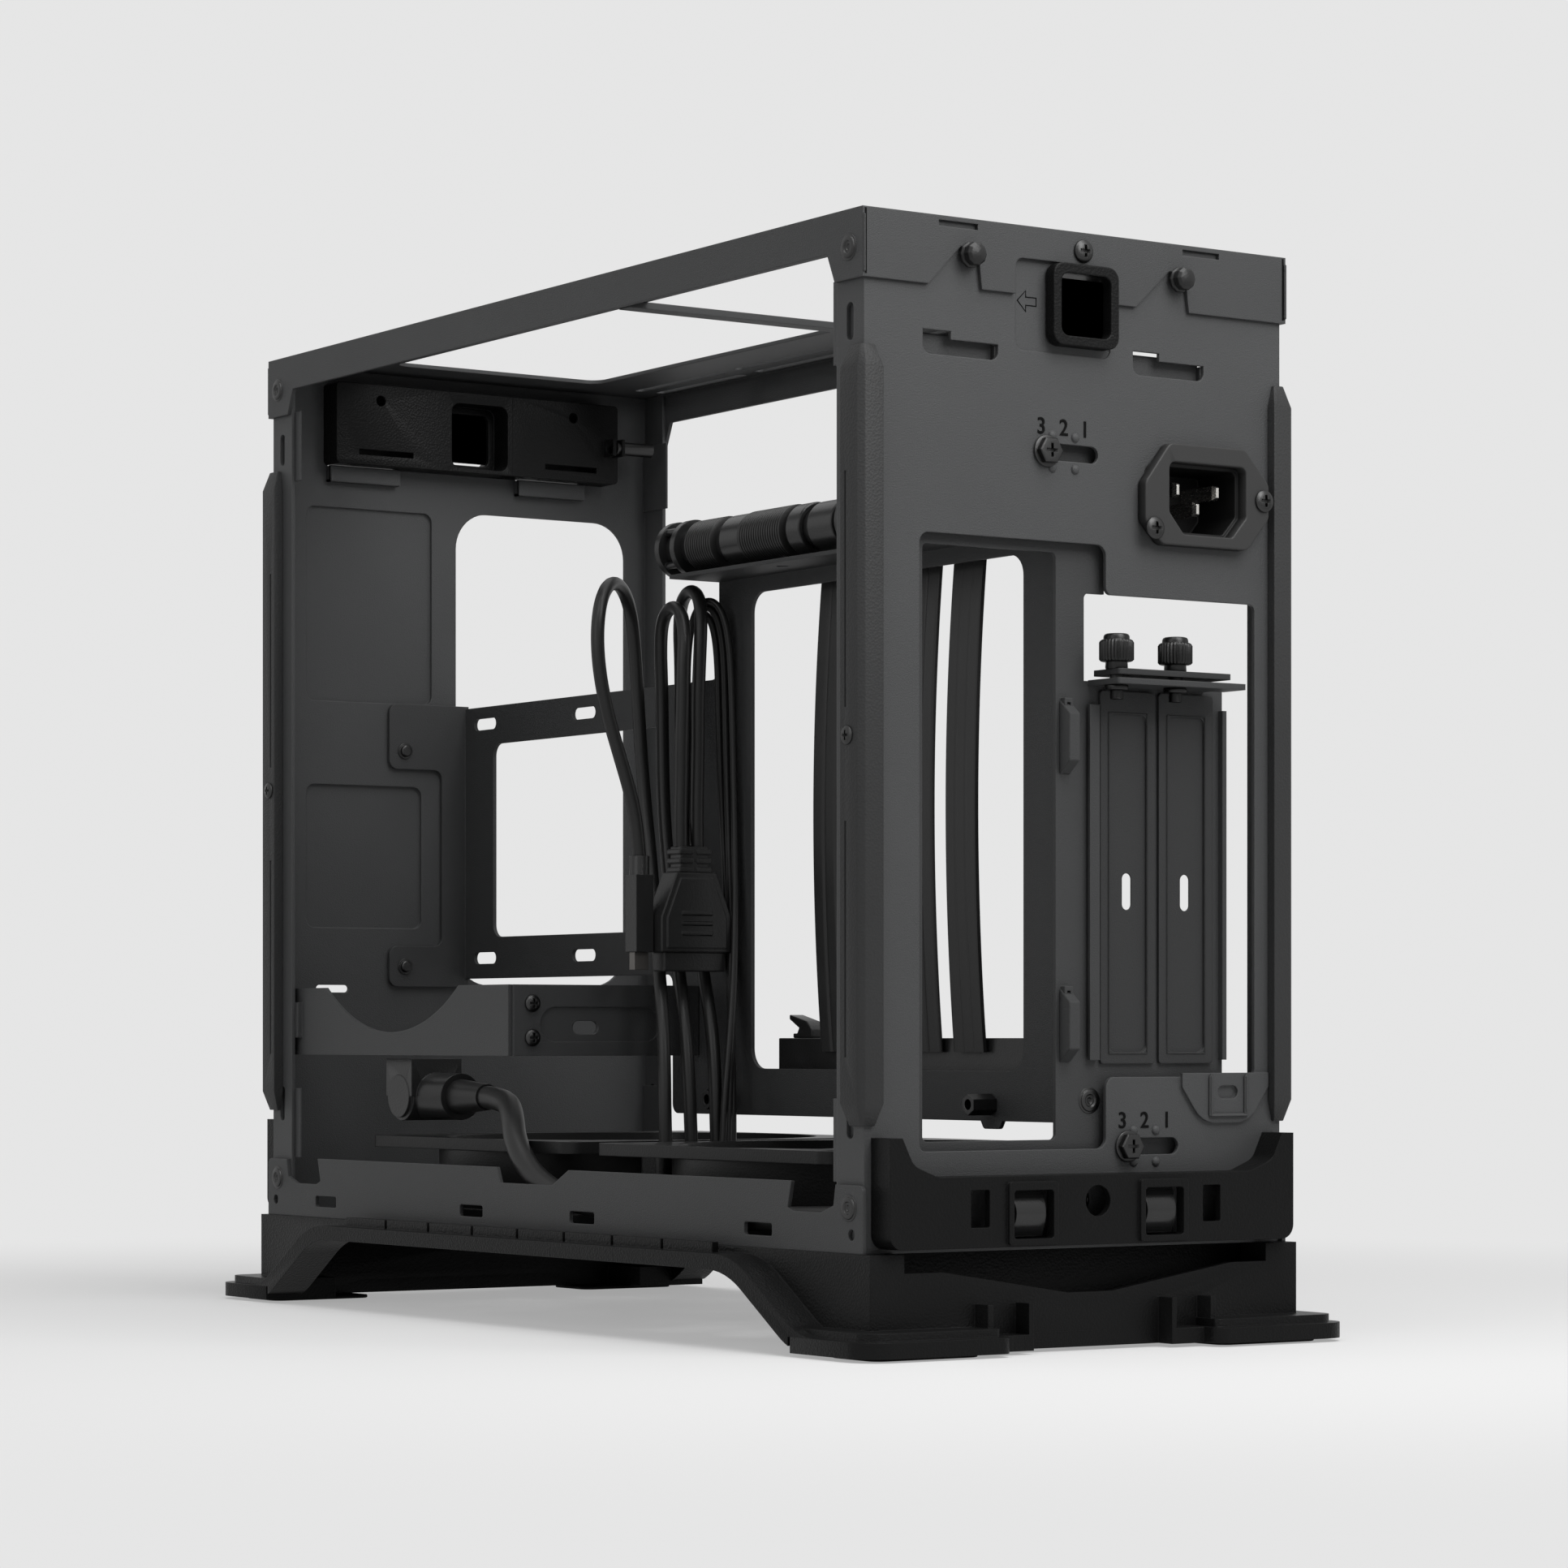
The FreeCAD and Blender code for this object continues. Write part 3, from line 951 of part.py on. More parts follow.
def position_screws():
    """Hex screws that lock the spine in one of its three positions."""
    screws = []
    for x, z in ((11.0, 241.9), (-16.8, 54.5)):
        washer = cylinder("y", (x, z), (SHELL_Y + S.seat_gap, SHELL_Y + 1.0), 4.2, "Washer")
        head = prism("y", (x, z), (SHELL_Y + 0.9, SHELL_Y + 3.0), 6.6, "HexHead")
        shaft = cylinder("y", (x, z), (SLIDE_IN - 3.0, SHELL_Y + 1.2), 1.75, "Shaft")
        drive = [box(about(x, 0.5), (SHELL_Y + 2.0, SHELL_Y + 4.0), about(z, 2.0), "Cross"),
                 box(about(x, 2.0), (SHELL_Y + 2.0, SHELL_Y + 4.0), about(z, 0.5), "Cross")]
        spacer = cylinder("y", (x, z), (SLIDE_OUT, PANEL_IN - S.seat_gap), 4.0, "Spacer")
        screws.append(cut(fuse([washer, head, shaft, spacer]), drive, "PositionScrew"))
    piece("position_screws", group(screws, "PositionScrews"))


# Riser: flat ribbed cable from the shelf down to the card socket
RIBBON_STRIPS = 11


def riser():
    roof = S.shelf_top - S.steel
    low, high = 80.0, roof - 3.0
    back = S.spine_x - 5.0
    bow = 3.0

    def strip(start, stop, thick, name):
        """A bowed strip of ribbon, extruded along Y."""
        tall = number(high) - low
        x = number(back)
        outer = Part.Arc(Vector(x, 0, low), Vector(x + bow, 0, low + tall / 2), Vector(x, 0, number(high)))
        inner = Part.Arc(Vector(x - thick, 0, number(high)), Vector(x + bow - thick, 0, low + tall / 2), Vector(x - thick, 0, low))
        ends = [Part.LineSegment(Vector(x, 0, number(high)), Vector(x - thick, 0, number(high))),
                Part.LineSegment(Vector(x - thick, 0, low), Vector(x, 0, low))]
        wire = Part.Wire([outer.toShape(), ends[0].toShape(), inner.toShape(), ends[1].toShape()])
        solid = Part.Face(wire).extrude(Vector(0, stop - start, 0))
        solid.translate(Vector(0, start, 0))
        return solid

    wide = 60.0
    start = 35.0
    pitch = wide / RIBBON_STRIPS
    solids = [strip(start, start + wide, 1.0, "Web")]
    for i in range(RIBBON_STRIPS):
        rib = strip(start + i * pitch + 0.5, start + (i + 1) * pitch - 0.5, 1.5, "Rib")
        rib.translate(Vector(0.25, 0, 0))
        solids.append(rib)
    ribbon = doc.addObject("Part::Feature", "Ribbon")
    ribbon.Shape = Part.makeCompound([solids[0].multiFuse(solids[1:]), strip(101.5, 115.5, 1.4, "Narrow")])
    piece("riser_ribbon", ribbon)
    socket = box((back - 12.0, back - 2.0), (10.0, 142.0), (66.0, 84.0), "Socket")
    groove = box((back - 8.0, back - 6.0), (24.0, 136.0), (76.0, 85.0), "Groove")
    body = cut(socket, [groove], "SocketBody")
    foot = box((back - 2.1, S.spine_x), (14.0, 138.0), (66.0, 70.0), "SocketFoot")
    piece("riser_socket", fuse([body, foot], "RiserSocket"))
    latch = [(14.0, 84.0), (24.0, 84.0), (24.0, 86.5), (21.0, 89.0), (12.0, 91.0), (12.0, 89.6), (17.0, 87.0), (16.0, 85.4), (14.0, 85.4)]
    piece("riser_latch", plate("x", (back - 9.5, back - 4.5), [latch], name="Latch"))
    piece("riser_plug", box((back - 3.0, S.spine_x), (32.0, 118.0), (high, roof), "RiserPlug"))


# Ribbed tube on the shelf: core, two windowed collars, sleeves and rings
def tube():
    x, z = S.tube_x, S.shelf_top + S.tube_r
    front, rear = S.tube_front, S.tube_front + S.tube_long
    piece("tube_core", cylinder("y", (x, z), (front, rear), S.tube_r - 2.6, "TubeCore"))

    def ring(low, high, radius, name):
        body = cylinder("y", (x, z), (low, high), radius, name)
        return cut(body, [cylinder("y", (x, z), (low - 1.0, high + 1.0), S.tube_r - 2.6, "Bore")], name)

    def collar_piece(low):
        flanges = [ring(low, low + 2.4, S.tube_r, "Flange"), ring(low + 8.4, low + 10.8, S.tube_r, "Flange")]
        posts = []
        for i in range(4):
            angle = math.pi / 4 + i * math.pi / 2
            reach = S.tube_r - 1.5
            posts.append(cylinder("y", (x + reach * math.cos(angle), z + reach * math.sin(angle)),
                                  (low + 2.3, low + 8.5), 1.1, "Post"))
        return fuse(flanges + posts, "Collar")

    piece("tube_collars", group([collar_piece(front), collar_piece(rear - 10.8)], "Collars"))

    def sleeve(low, high):
        grooves = []
        body = ring(low, high, S.tube_r - 0.6, "SleeveBody")
        count = int((number(high) - number(low)) / 1.9)
        for i in range(count):
            start = low + 0.6 + i * 1.9
            groove = cylinder("y", (x, z), (start, start + 0.6), S.tube_r, "Groove")
            keep = cylinder("y", (x, z), (start - 0.1, start + 0.7), S.tube_r - 1.0, "Keep")
            grooves.append(cut(groove, [keep], "GrooveRing"))
        return cut(body, grooves, "Sleeve")

    piece("tube_sleeves", group([sleeve(front + 15.4, front + 29.8), sleeve(front + 44.4, front + 66.4)], "Sleeves"))
    piece("tube_rings", group([ring(front + 33.8, front + 44.2, S.tube_r - 0.9, "Ring"),
                               ring(front + 69.0, front + 76.0, S.tube_r - 0.9, "Ring"),
                               ring(front + 79.5, front + 92.0, S.tube_r - 1.2, "Ring")], "Rings"))


# Mains inlet: moulded body with a screw lug and a screw ear
def inlet():
    x, z = S.inlet_x, S.inlet_z
    out = SHELL_Y + 3.65

    def at(points):
        return [(x + p[0], z + p[1]) + tuple(p[2:]) for p in points]

    rim = at([(22.0, 3.2, 3.0), (13.5, 14.3, 3.0), (-13.0, 14.3, 3.0), (-21.6, 5.0, 3.0), (-21.6, -4.5, 3.0),
              (-14.0, -13.6, 3.0), (16.0, -13.6, 3.0), (22.0, -7.5, 3.0)])
    hole = at([(13.6, 9.2, 2.0), (-13.4, 9.2, 2.0), (-13.4, -4.6, 1.5), (-8.4, -10.4, 1.5), (8.6, -10.4, 1.5), (13.6, -4.6, 1.5)])
    flange = plate("y", (SHELL_Y, out), [rim, hole], name="InletRim")
    inner = at([(12.6, 8.2, 1.5), (-12.4, 8.2, 1.5), (-12.4, -4.2, 1.5), (-7.8, -9.4, 1.5), (8.0, -9.4, 1.5), (12.6, -4.2, 1.5)])
    body = plate("y", (SHELL_Y - 20.0, SHELL_Y), [at([(15.4, -11.6, 4.0), (15.4, 11.6, 4.0), (-15.4, 11.6, 4.0), (-15.4, -11.6, 4.0)])],
                 name="InletBody")
    cavity = plate("y", (SHELL_Y - 16.0, SHELL_Y + 1.0), [inner], name="Cavity")
    neck = cylinder("y", (x, z), (SHELL_Y - 28.0, SHELL_Y - 19.9), 6.5, "InletNeck")
    piece("mains_inlet", fuse([flange, cut(body, [cavity], "InletCup"), neck], "MainsInlet"))
    pins = []
    for u, v in ((-7.0, 2.4), (7.0, 2.4), (0.0, -2.6)):
        pins.append(box(about(x + u, 1.0), (SHELL_Y - 16.0, SHELL_Y - 1.0), about(z + v, 2.0), "Pin"))
    piece("inlet_pins", group(pins, "InletPins"))
    screws = []
    for u, v in ((19.0, -9.4), (-19.6, 0.4)):
        head = cylinder("y", (x + u, z + v), (out, out + 1.1), 3.1, "Head")
        drive = [box(about(x + u, 0.5), (out + 0.4, out + 2.0), about(z + v, 1.9), "Cross"),
                 box(about(x + u, 1.9), (out + 0.4, out + 2.0), about(z + v, 0.5), "Cross")]
        screws.append(cut(head, drive, "InletScrew"))
    piece("inlet_screws", group(screws, "InletScrews"))


# Snap studs, top screws and rivets: fasteners in sets
def snap_studs():
    studs = []
    for end in (1, -1):
        for x in STUD_X:
            start, stop = (PANEL_IN, SHELL_Y + 2.0) if end > 0 else (-SHELL_Y - 2.0, -PANEL_IN)
            stem = cylinder("y", (x, 291.9), (start, stop), 1.4, "Stem")
            head_span = (SHELL_Y + 1.4, SHELL_Y + 5.8) if end > 0 else (-SHELL_Y - 5.8, -SHELL_Y - 1.4)
            radii = (3.4, 2.6) if end > 0 else (2.6, 3.4)
            head = cone("y", (x, 291.9), head_span, radii, "StudHead")
            studs.append(fuse([stem, head], "Stud"))
    piece("snap_studs", group(studs, "SnapStuds"))


def top_screws():
    screws = []
    for end in (1, -1):
        span = (HY, HY + 1.4) if end > 0 else (-HY - 1.4, -HY)
        head = cylinder("y", (-0.6, 296.5), span, 3.0, "Head")
        shaft = cylinder("y", (-0.6, 296.5), (SHELL_Y, HY + 0.1) if end > 0 else (-HY - 0.1, -SHELL_Y), 1.5, "Shaft")
        face = (HY + 0.6, HY + 2.0) if end > 0 else (-HY - 2.0, -HY - 0.6)
        drive = [box(about(-0.6, 0.5), face, about(296.5, 1.9), "Cross"), box(about(-0.6, 1.9), face, about(296.5, 0.5), "Cross")]
        screws.append(cut(fuse([head, shaft]), drive, "TopScrew"))
    piece("top_screws", group(screws, "TopScrews"))


def rivets():
    heads = []
    for side in (1, -1):
        span = (HX, HX + 0.7) if side > 0 else (-HX - 0.7, -HX)
        for end in (1, -1):
            for z in (S.frame_top - 10.0, S.floor_low + 12.0):
                heads.append(cylinder("x", (end * (HY - 6.4), z), span, 2.4, "RivetHead"))
    piece("frame_rivets", group(heads, "FrameRivets"))
    inner = []
    face = -PANEL_IN + S.seat_gap + S.steel
    for z in (S.frame_top - 123.8, 107.4):
        inner.append(cylinder("y", (24.0, z), (face, face + 1.6), 2.6, "SpineRivet"))
    inner.append(cylinder("y", (-6.4, 67.0), (SLIDE_OUT, SLIDE_OUT + 0.9), 2.8, "PlateRivet"))
    piece("spine_rivets", group(inner, "SpineRivets"))


# Power supply bracket: outer band with a scooped edge, and a cross arm
def psu_bracket():
    low, high = S.psu_low, S.psu_low + S.psu_high
    front, rear = S.psu_front, S.psu_rear
    out, inner = S.psu_x, S.psu_x - S.steel
    band = plate("x", (inner, out), [[(front, low), (rear, low), (rear, high), (front, high)]], name="Band")
    scoop = doc.addObject("Part::Cylinder", "Scoop")
    scoop.Radius = 70.0
    bind(scoop, "Height", S.steel + 2.0)
    place(scoop, inner - 1.0, -93.6, high + 55.9, ALONG["x"])
    band = cut(band, [scoop], "BandScooped")
    stand = box((inner, SHELL_X - S.steel), (front, front + 7.0), (low + 5.5, high - 4.5), "Stand")
    foot = box((inner - 8.0, inner + 0.1), (rear - S.steel, rear), (low, high - S.steel), "BandReturn")
    piece("psu_band", fuse([band, stand, foot], "PsuBand"))
    arm_y = (rear, rear + S.steel)
    start = SPINE_FACE + 0.4
    arm = plate("y", arm_y, [[(start, low), (inner, low), (inner, high), (start, high)],
                             obround((15.5, 57.5), (low + 4.2, low + 14.6))], name="Arm")
    field = plate("y", (arm_y[0] - 0.9, arm_y[1] - 0.9 + 0.3), [obround((15.0, 58.0), (low + 3.7, low + 15.1)),
                                                          obround((37.0, 46.0), (low + 6.4, low + 10.4))], name="ArmField")
    top = plate("z", (high - S.steel, high), [rectangle((start, inner - 0.2), (rear - 12.0, rear + 0.1))], name="ArmTop")
    piece("psu_arm", fuse([arm, field, top], "PsuArm"))
    piece("psu_screws", group([cylinder("y", (60.5, low + 15.6), (rear + S.steel, rear + S.steel + 1.6), 2.6, "ArmScrew"),
                               cylinder("y", (60.5, low + 5.4), (rear + S.steel, rear + S.steel + 1.6), 2.6, "ArmScrew")], "PsuScrews"))


# Leads: straight runs joined by the largest arcs the runs allow
def lead(points, radius, name):
    """A round lead along a hand-set route; prints its bend radii."""
    route = [Vector(*point) for point in points]
    edges = []
    here = route[0]
    bends = []
    for before, corner, after in zip(route, route[1:], route[2:]):
        turn = (corner - before).getAngle(after - corner)
        shorter = min((corner - before).Length, (after - corner).Length)
        bend = 0.45 * shorter / math.tan(turn / 2)
        start, peak, end = corner_arc(corner, before, after, bend)
        edges += [Part.LineSegment(here, start).toShape(), Part.Arc(start, peak, end).toShape()]
        here = end
        bends.append(bend)
    edges.append(Part.LineSegment(here, route[-1]).toShape())
    path = Part.Wire(edges)
    ring = Part.Wire([Part.makeCircle(radius, route[0], route[1] - route[0])])
    tube_shape = path.makePipeShell([ring], True, False)
    expected = math.pi * radius * radius * path.Length
    print(f"{name}: length {path.Length:.1f}, tightest bend {min(bends):.1f}, "
          f"volume ratio {tube_shape.Volume / expected:.4f}")
    holder = doc.addObject("Part::Feature", "Lead")
    holder.Shape = tube_shape
    piece(name, holder)


MAINS_ROUTE = [
    (54.0, -58.0, 66.0), (56.1, -41.0, 65.4), (61.6, -25.1, 62.1), (65.0, -10.2, 54.3),
    (65.6, 4.2, 45.1), (65.4, 20.0, 38.4), (65.3, 36.9, 35.4), (65.6, 54.1, 34.7), (65.6, 71.3, 34.5),
    (65.5, 88.5, 34.6), (65.7, 105.7, 34.6), (64.7, 122.9, 35.0), (59.3, 139.0, 35.6),
    (45.5, 149.0, 36.0), (28.8, 153.0, 35.8), (11.7, 154.2, 35.6), (-5.5, 154.5, 35.9),
    (-22.7, 153.5, 35.9), (-39.7, 151.1, 35.6), (-54.9, 143.3, 35.8), (-63.7, 128.9, 36.0),
    (-65.8, 112.0, 37.5), (-65.5, 96.7, 44.8), (-65.2, 86.6, 58.5), (-65.4, 82.4, 75.2),
    (-65.4, 80.8, 92.3), (-65.1, 79.9, 109.5), (-65.3, 78.6, 126.7), (-65.2, 77.8, 143.8),
    (-65.4, 77.1, 161.0), (-65.4, 77.1, 178.2), (-65.0, 78.2, 195.4), (-63.0, 82.2, 212.0),
    (-58.4, 90.7, 226.0), (-51.6, 104.3, 233.5), (-45.3, 120.3, 233.8), (-42.4, 137.0, 232.4),
]

CABLE_ONE = [
    (12.0, 5.2, 52.0), (12.2, 5.0, 61.6), (11.9, 4.1, 71.3), (11.3, 2.4, 80.7), (10.3, -0.8, 89.8),
    (9.3, -4.9, 98.3), (7.7, -9.5, 106.8), (6.9, -13.3, 115.7), (6.2, -16.9, 124.6),
    (5.6, -19.9, 133.8), (5.2, -22.3, 143.1), (4.9, -24.0, 152.6), (4.8, -25.2, 162.2),
    (4.5, -26.0, 171.8), (4.3, -26.5, 181.4), (4.3, -26.7, 191.1), (5.3, -25.9, 200.6),
    (7.8, -20.7, 208.1), (10.0, -11.8, 210.7), (12.3, -3.4, 207.0), (14.7, 0.8, 198.9),
    (15.5, 1.2, 189.3), (15.9, 1.0, 179.6), (15.6, 0.5, 170.0), (15.6, 0.2, 160.3), (15.9, 0.3, 150.7),
    (15.6, 0.0, 141.0),
]

CABLE_TWO = [
    (21.0, 5.2, 52.0), (21.3, 5.1, 61.3), (21.2, 4.2, 70.7), (20.8, 2.6, 79.9), (19.7, -0.4, 88.6),
    (18.0, -4.7, 96.7), (16.2, -9.3, 104.7), (14.7, -13.3, 113.0), (13.3, -17.2, 121.4),
    (12.1, -20.6, 130.0), (11.1, -23.5, 138.9), (10.5, -25.7, 147.9), (10.2, -27.1, 157.2),
    (9.9, -28.0, 166.5), (9.7, -28.6, 175.8), (9.8, -28.7, 185.2), (10.8, -27.9, 194.4),
    (13.1, -23.3, 202.0), (15.3, -15.1, 205.5), (17.4, -6.3, 203.5), (19.7, -0.5, 196.8),
    (21.3, 1.1, 187.7), (21.4, 1.0, 178.4), (21.7, 0.9, 169.0), (21.4, 0.3, 159.7), (21.7, 0.3, 150.4),
    (21.4, 0.0, 141.0),
]

CABLE_THREE = [
    (30.0, 5.2, 52.0), (30.2, 5.0, 61.5), (29.7, 4.1, 71.0), (28.9, 2.5, 80.3), (27.4, -0.5, 89.3),
    (25.5, -4.6, 97.6), (23.5, -9.0, 105.9), (21.6, -13.0, 114.3), (19.7, -17.2, 122.7),
    (18.0, -21.0, 131.2), (16.9, -24.1, 140.2), (16.3, -26.8, 149.3), (16.0, -28.8, 158.6),
    (16.0, -29.9, 168.1), (16.1, -30.5, 177.6), (16.4, -30.7, 187.1), (17.3, -30.3, 196.6),
    (20.2, -27.7, 205.1), (26.0, -22.6, 210.6), (33.0, -16.4, 211.9), (39.8, -10.5, 209.1),
    (44.8, -6.0, 202.5), (46.6, -4.4, 193.3), (46.1, -3.8, 183.9), (43.9, -3.4, 174.6),
    (40.6, -3.1, 165.7), (37.3, -3.0, 156.7), (35.0, -2.9, 147.5), (34.2, -2.8, 138.0),
]


def leads():
    lead(MAINS_ROUTE, number(S.mains_r), "mains_lead")
    lead(CABLE_ONE, number(S.wire_r), "front_cable_1")
    lead(CABLE_TWO, number(S.wire_r), "front_cable_2")
    lead(CABLE_THREE, number(S.wire_r), "front_cable_3")


def plugs():
    """The pieces on the leads: angled mains plug, and two board connectors."""
    x, z = 54.0, 66.0
    elbow = cylinder("x", (-97.0, z), (x - 9.5, x + 8.0), 7.6, "Elbow")
    disc = cylinder("x", (-97.0, z), (x + 7.9, x + 9.2), 6.6, "Disc")
    arm = cylinder("y", (x, z), (-98.0, -74.0), 7.2, "PlugArm")
    mouth = box((x - 9.0, x + 9.0), (-105.0, -89.0), (z, z + 11.6), "PlugMouth")
    hollow = box((x - 6.4, x + 6.4), (-102.0, -92.0), (z + 8.0, z + 12.0), "PlugHollow")
    piece("mains_plug", cut(fuse([elbow, disc, arm, mouth]), [hollow], "MainsPlug"))
    piece("mains_relief", cone("y", (x, z), (-74.0, -58.3), (5.4, 4.0), "MainsRelief"))
    wide = [(5.9, 110.0), (30.8, 110.0), (30.8, 127.0), (26.0, 135.0, 1.5), (10.6, 135.0, 1.5), (5.9, 127.0)]
    shell = plate("y", (-4.4, 4.4), [wide], name="WideShell")
    plug = box((7.6, 29.0), (-3.2, 3.2), (103.8, 110.0), "WidePlug")
    collar_a = box((11.0, 26.0), (-3.4, 3.4), (135.0, 141.0), "WideRelief")
    ribs = [box((10.0, 27.0), (-5.0, 5.0), (z0, z0 + 1.0), "Slot") for z0 in (136.4, 138.8)]
    ribs = [cut(rib, [box((12.0, 25.0), (-2.4, 2.4), (130.0, 150.0), "Core")], "Slit") for rib in ribs]
    grips = [box((12.0, 24.6), (4.1, 5.0), (z0, z0 + 0.6), "Grip") for z0 in (115.0, 117.4, 119.8, 122.2)]
    piece("connector_wide", cut(fuse([shell, plug, collar_a]), ribs + grips, "ConnectorWide"))
    slim = box((31.4, 37.4), (-5.6, 0.6), (109.5, 132.4), "SlimShell")
    top = cylinder("z", (34.2, -2.8), (132.4, 138.0), 3.0, "SlimRelief")
    piece("connector_slim", fuse([slim, top], "ConnectorSlim"))
    piece("slim_contact", box((32.0, 36.8), (-4.2, -1.4), (104.2, 109.5), "SlimContact"))
    gland = plate("z", (FLOOR_TOP, 51.8), [rectangle((6.0, 36.0), (-1.0, 11.4), 3.0)], name="Gland")
    hollow_gland = plate("z", (FLOOR_TOP - 1.0, 49.0), [rectangle((8.0, 34.0), (1.0, 9.4), 2.0)], name="GlandHollow")
    piece("cable_gland", cut(gland, [hollow_gland], "CableGland"))


base()
lower_frame()
rear_panel()
front_panel()
top_frame()
guards()
trim(1, "rear_trim")
trim(-1, "front_trim")
clip_springs()
bezel(1, "rear_bezel")
bezel(-1, "front_bezel")
fan("front")
fan("rear")
filter_piece()
spine_tray()
io_plate()
slot_covers()
position_screws()
riser()
tube()
inlet()
snap_studs()
top_screws()
rivets()
psu_bracket()
leads()
plugs()
doc.recompute()

failed = [thing.Name for thing in doc.Objects if "Invalid" in thing.State or "Error" in thing.State]
if failed:
    raise RuntimeError("these features failed: " + ", ".join(failed))
for name, thing in PIECES.items():
    if thing.Shape.isNull() or not thing.Shape.isValid() or not thing.Shape.Solids:
        raise RuntimeError(f"{name} has no sound solid")
os.makedirs("parts", exist_ok=True)
for name, thing in PIECES.items():
    solids = thing.Shape.Solids
    kept = solids[0] if len(solids) == 1 else Part.makeCompound(solids)
    kept.exportStep(f"parts/{name}.step")
print(f"{len(PIECES)} sub-parts written")
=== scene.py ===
# %% [markdown]
# # An open mini-ITX computer case
#
# The case is a black steel frame without its outer shell. It stands on an arched moulded base, two fans
# lie in its floor, and a folded sheet, the spine, parts the mainboard's side from the graphics card's
# side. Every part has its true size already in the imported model, which this script loads. What is left is
# the look: soft edges on the mouldings, powder coat on the steel, leads that bend like leads, and knurled,
# domed and cross-headed fasteners.

# %% Load the measured model
import json
import math

import bmesh
import bpy
from mathutils import Matrix, Vector


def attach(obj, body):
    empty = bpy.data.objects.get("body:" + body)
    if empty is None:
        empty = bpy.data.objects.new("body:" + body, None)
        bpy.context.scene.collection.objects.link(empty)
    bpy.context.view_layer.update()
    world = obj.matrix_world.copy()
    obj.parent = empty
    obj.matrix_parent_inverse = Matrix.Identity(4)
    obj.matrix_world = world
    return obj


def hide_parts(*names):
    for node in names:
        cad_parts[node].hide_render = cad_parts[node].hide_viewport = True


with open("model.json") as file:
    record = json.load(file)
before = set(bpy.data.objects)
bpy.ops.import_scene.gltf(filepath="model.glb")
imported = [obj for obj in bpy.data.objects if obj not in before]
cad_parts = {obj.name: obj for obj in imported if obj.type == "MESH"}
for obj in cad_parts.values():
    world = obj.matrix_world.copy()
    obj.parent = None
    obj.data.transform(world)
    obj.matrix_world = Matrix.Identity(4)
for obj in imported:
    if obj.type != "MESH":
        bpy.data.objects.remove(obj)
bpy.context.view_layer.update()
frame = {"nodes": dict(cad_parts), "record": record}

# %% [markdown]
# ## The camera
#
# The case was seen from behind and a little to one side, from just above the table, through a long lens,
# so its upright edges stay parallel. Tilting a camera up would make them lean. A view camera's answer is
# to keep the lens level and slide the film, and Blender's `shift_y` is that slide.

# %% Stand the camera where the case was seen from
PHOTO_SIDE = 1932
FOCAL_PIXELS = 5621.0
HORIZON_ROW = 1279
EYE = Vector((0.75646, 1.14261, 0.084))
VIEW_TURN = math.radians(34.05)

lens = bpy.data.cameras.new("case_camera")
lens.sensor_width = 36.0
lens.lens = lens.sensor_width * FOCAL_PIXELS / PHOTO_SIDE
lens.shift_y = (HORIZON_ROW - PHOTO_SIDE / 2) / PHOTO_SIDE
lens.clip_end = 50.0
camera = bpy.data.objects.new("case_camera", lens)
bpy.context.scene.collection.objects.link(camera)
camera.location = EYE
looking = Vector((-math.sin(VIEW_TURN), -math.cos(VIEW_TURN), 0.0))
camera.rotation_euler = looking.to_track_quat("-Z", "Y").to_euler()
bpy.context.scene.camera = camera
print(f"lens {lens.lens:.1f} mm, film shifted {lens.shift_y:.3f}")

# %% [markdown]
# ## Shader sums
#
# A finish is arithmetic on noise, normals and colours. Written as nodes it takes a screen of wires, so a
# small class wraps one socket and lets Python's signs add the Math nodes. The sign `|` takes the larger
# of two values, which for two masks means: where either of them is on.

# %% Sockets that can be added and multiplied
class Wire:
    """One output socket, usable in sums."""

    def __init__(self, finish, socket):
        self.finish, self.socket = finish, socket

    def _sum(self, operation, first, second):
        return self.finish.node("Math", {"operation": operation}, {0: first, 1: second})

    def __add__(self, other):
        return self._sum("ADD", self, other)

    def __radd__(self, other):
        return self._sum("ADD", other, self)

    def __sub__(self, other):
        return self._sum("SUBTRACT", self, other)

    def __rsub__(self, other):
        return self._sum("SUBTRACT", other, self)

    def __mul__(self, other):
        return self._sum("MULTIPLY", self, other)

    def __rmul__(self, other):
        return self._sum("MULTIPLY", other, self)

    def __or__(self, other):
        return self._sum("MAXIMUM", self, other)


print("sockets can be added, subtracted, multiplied and joined")
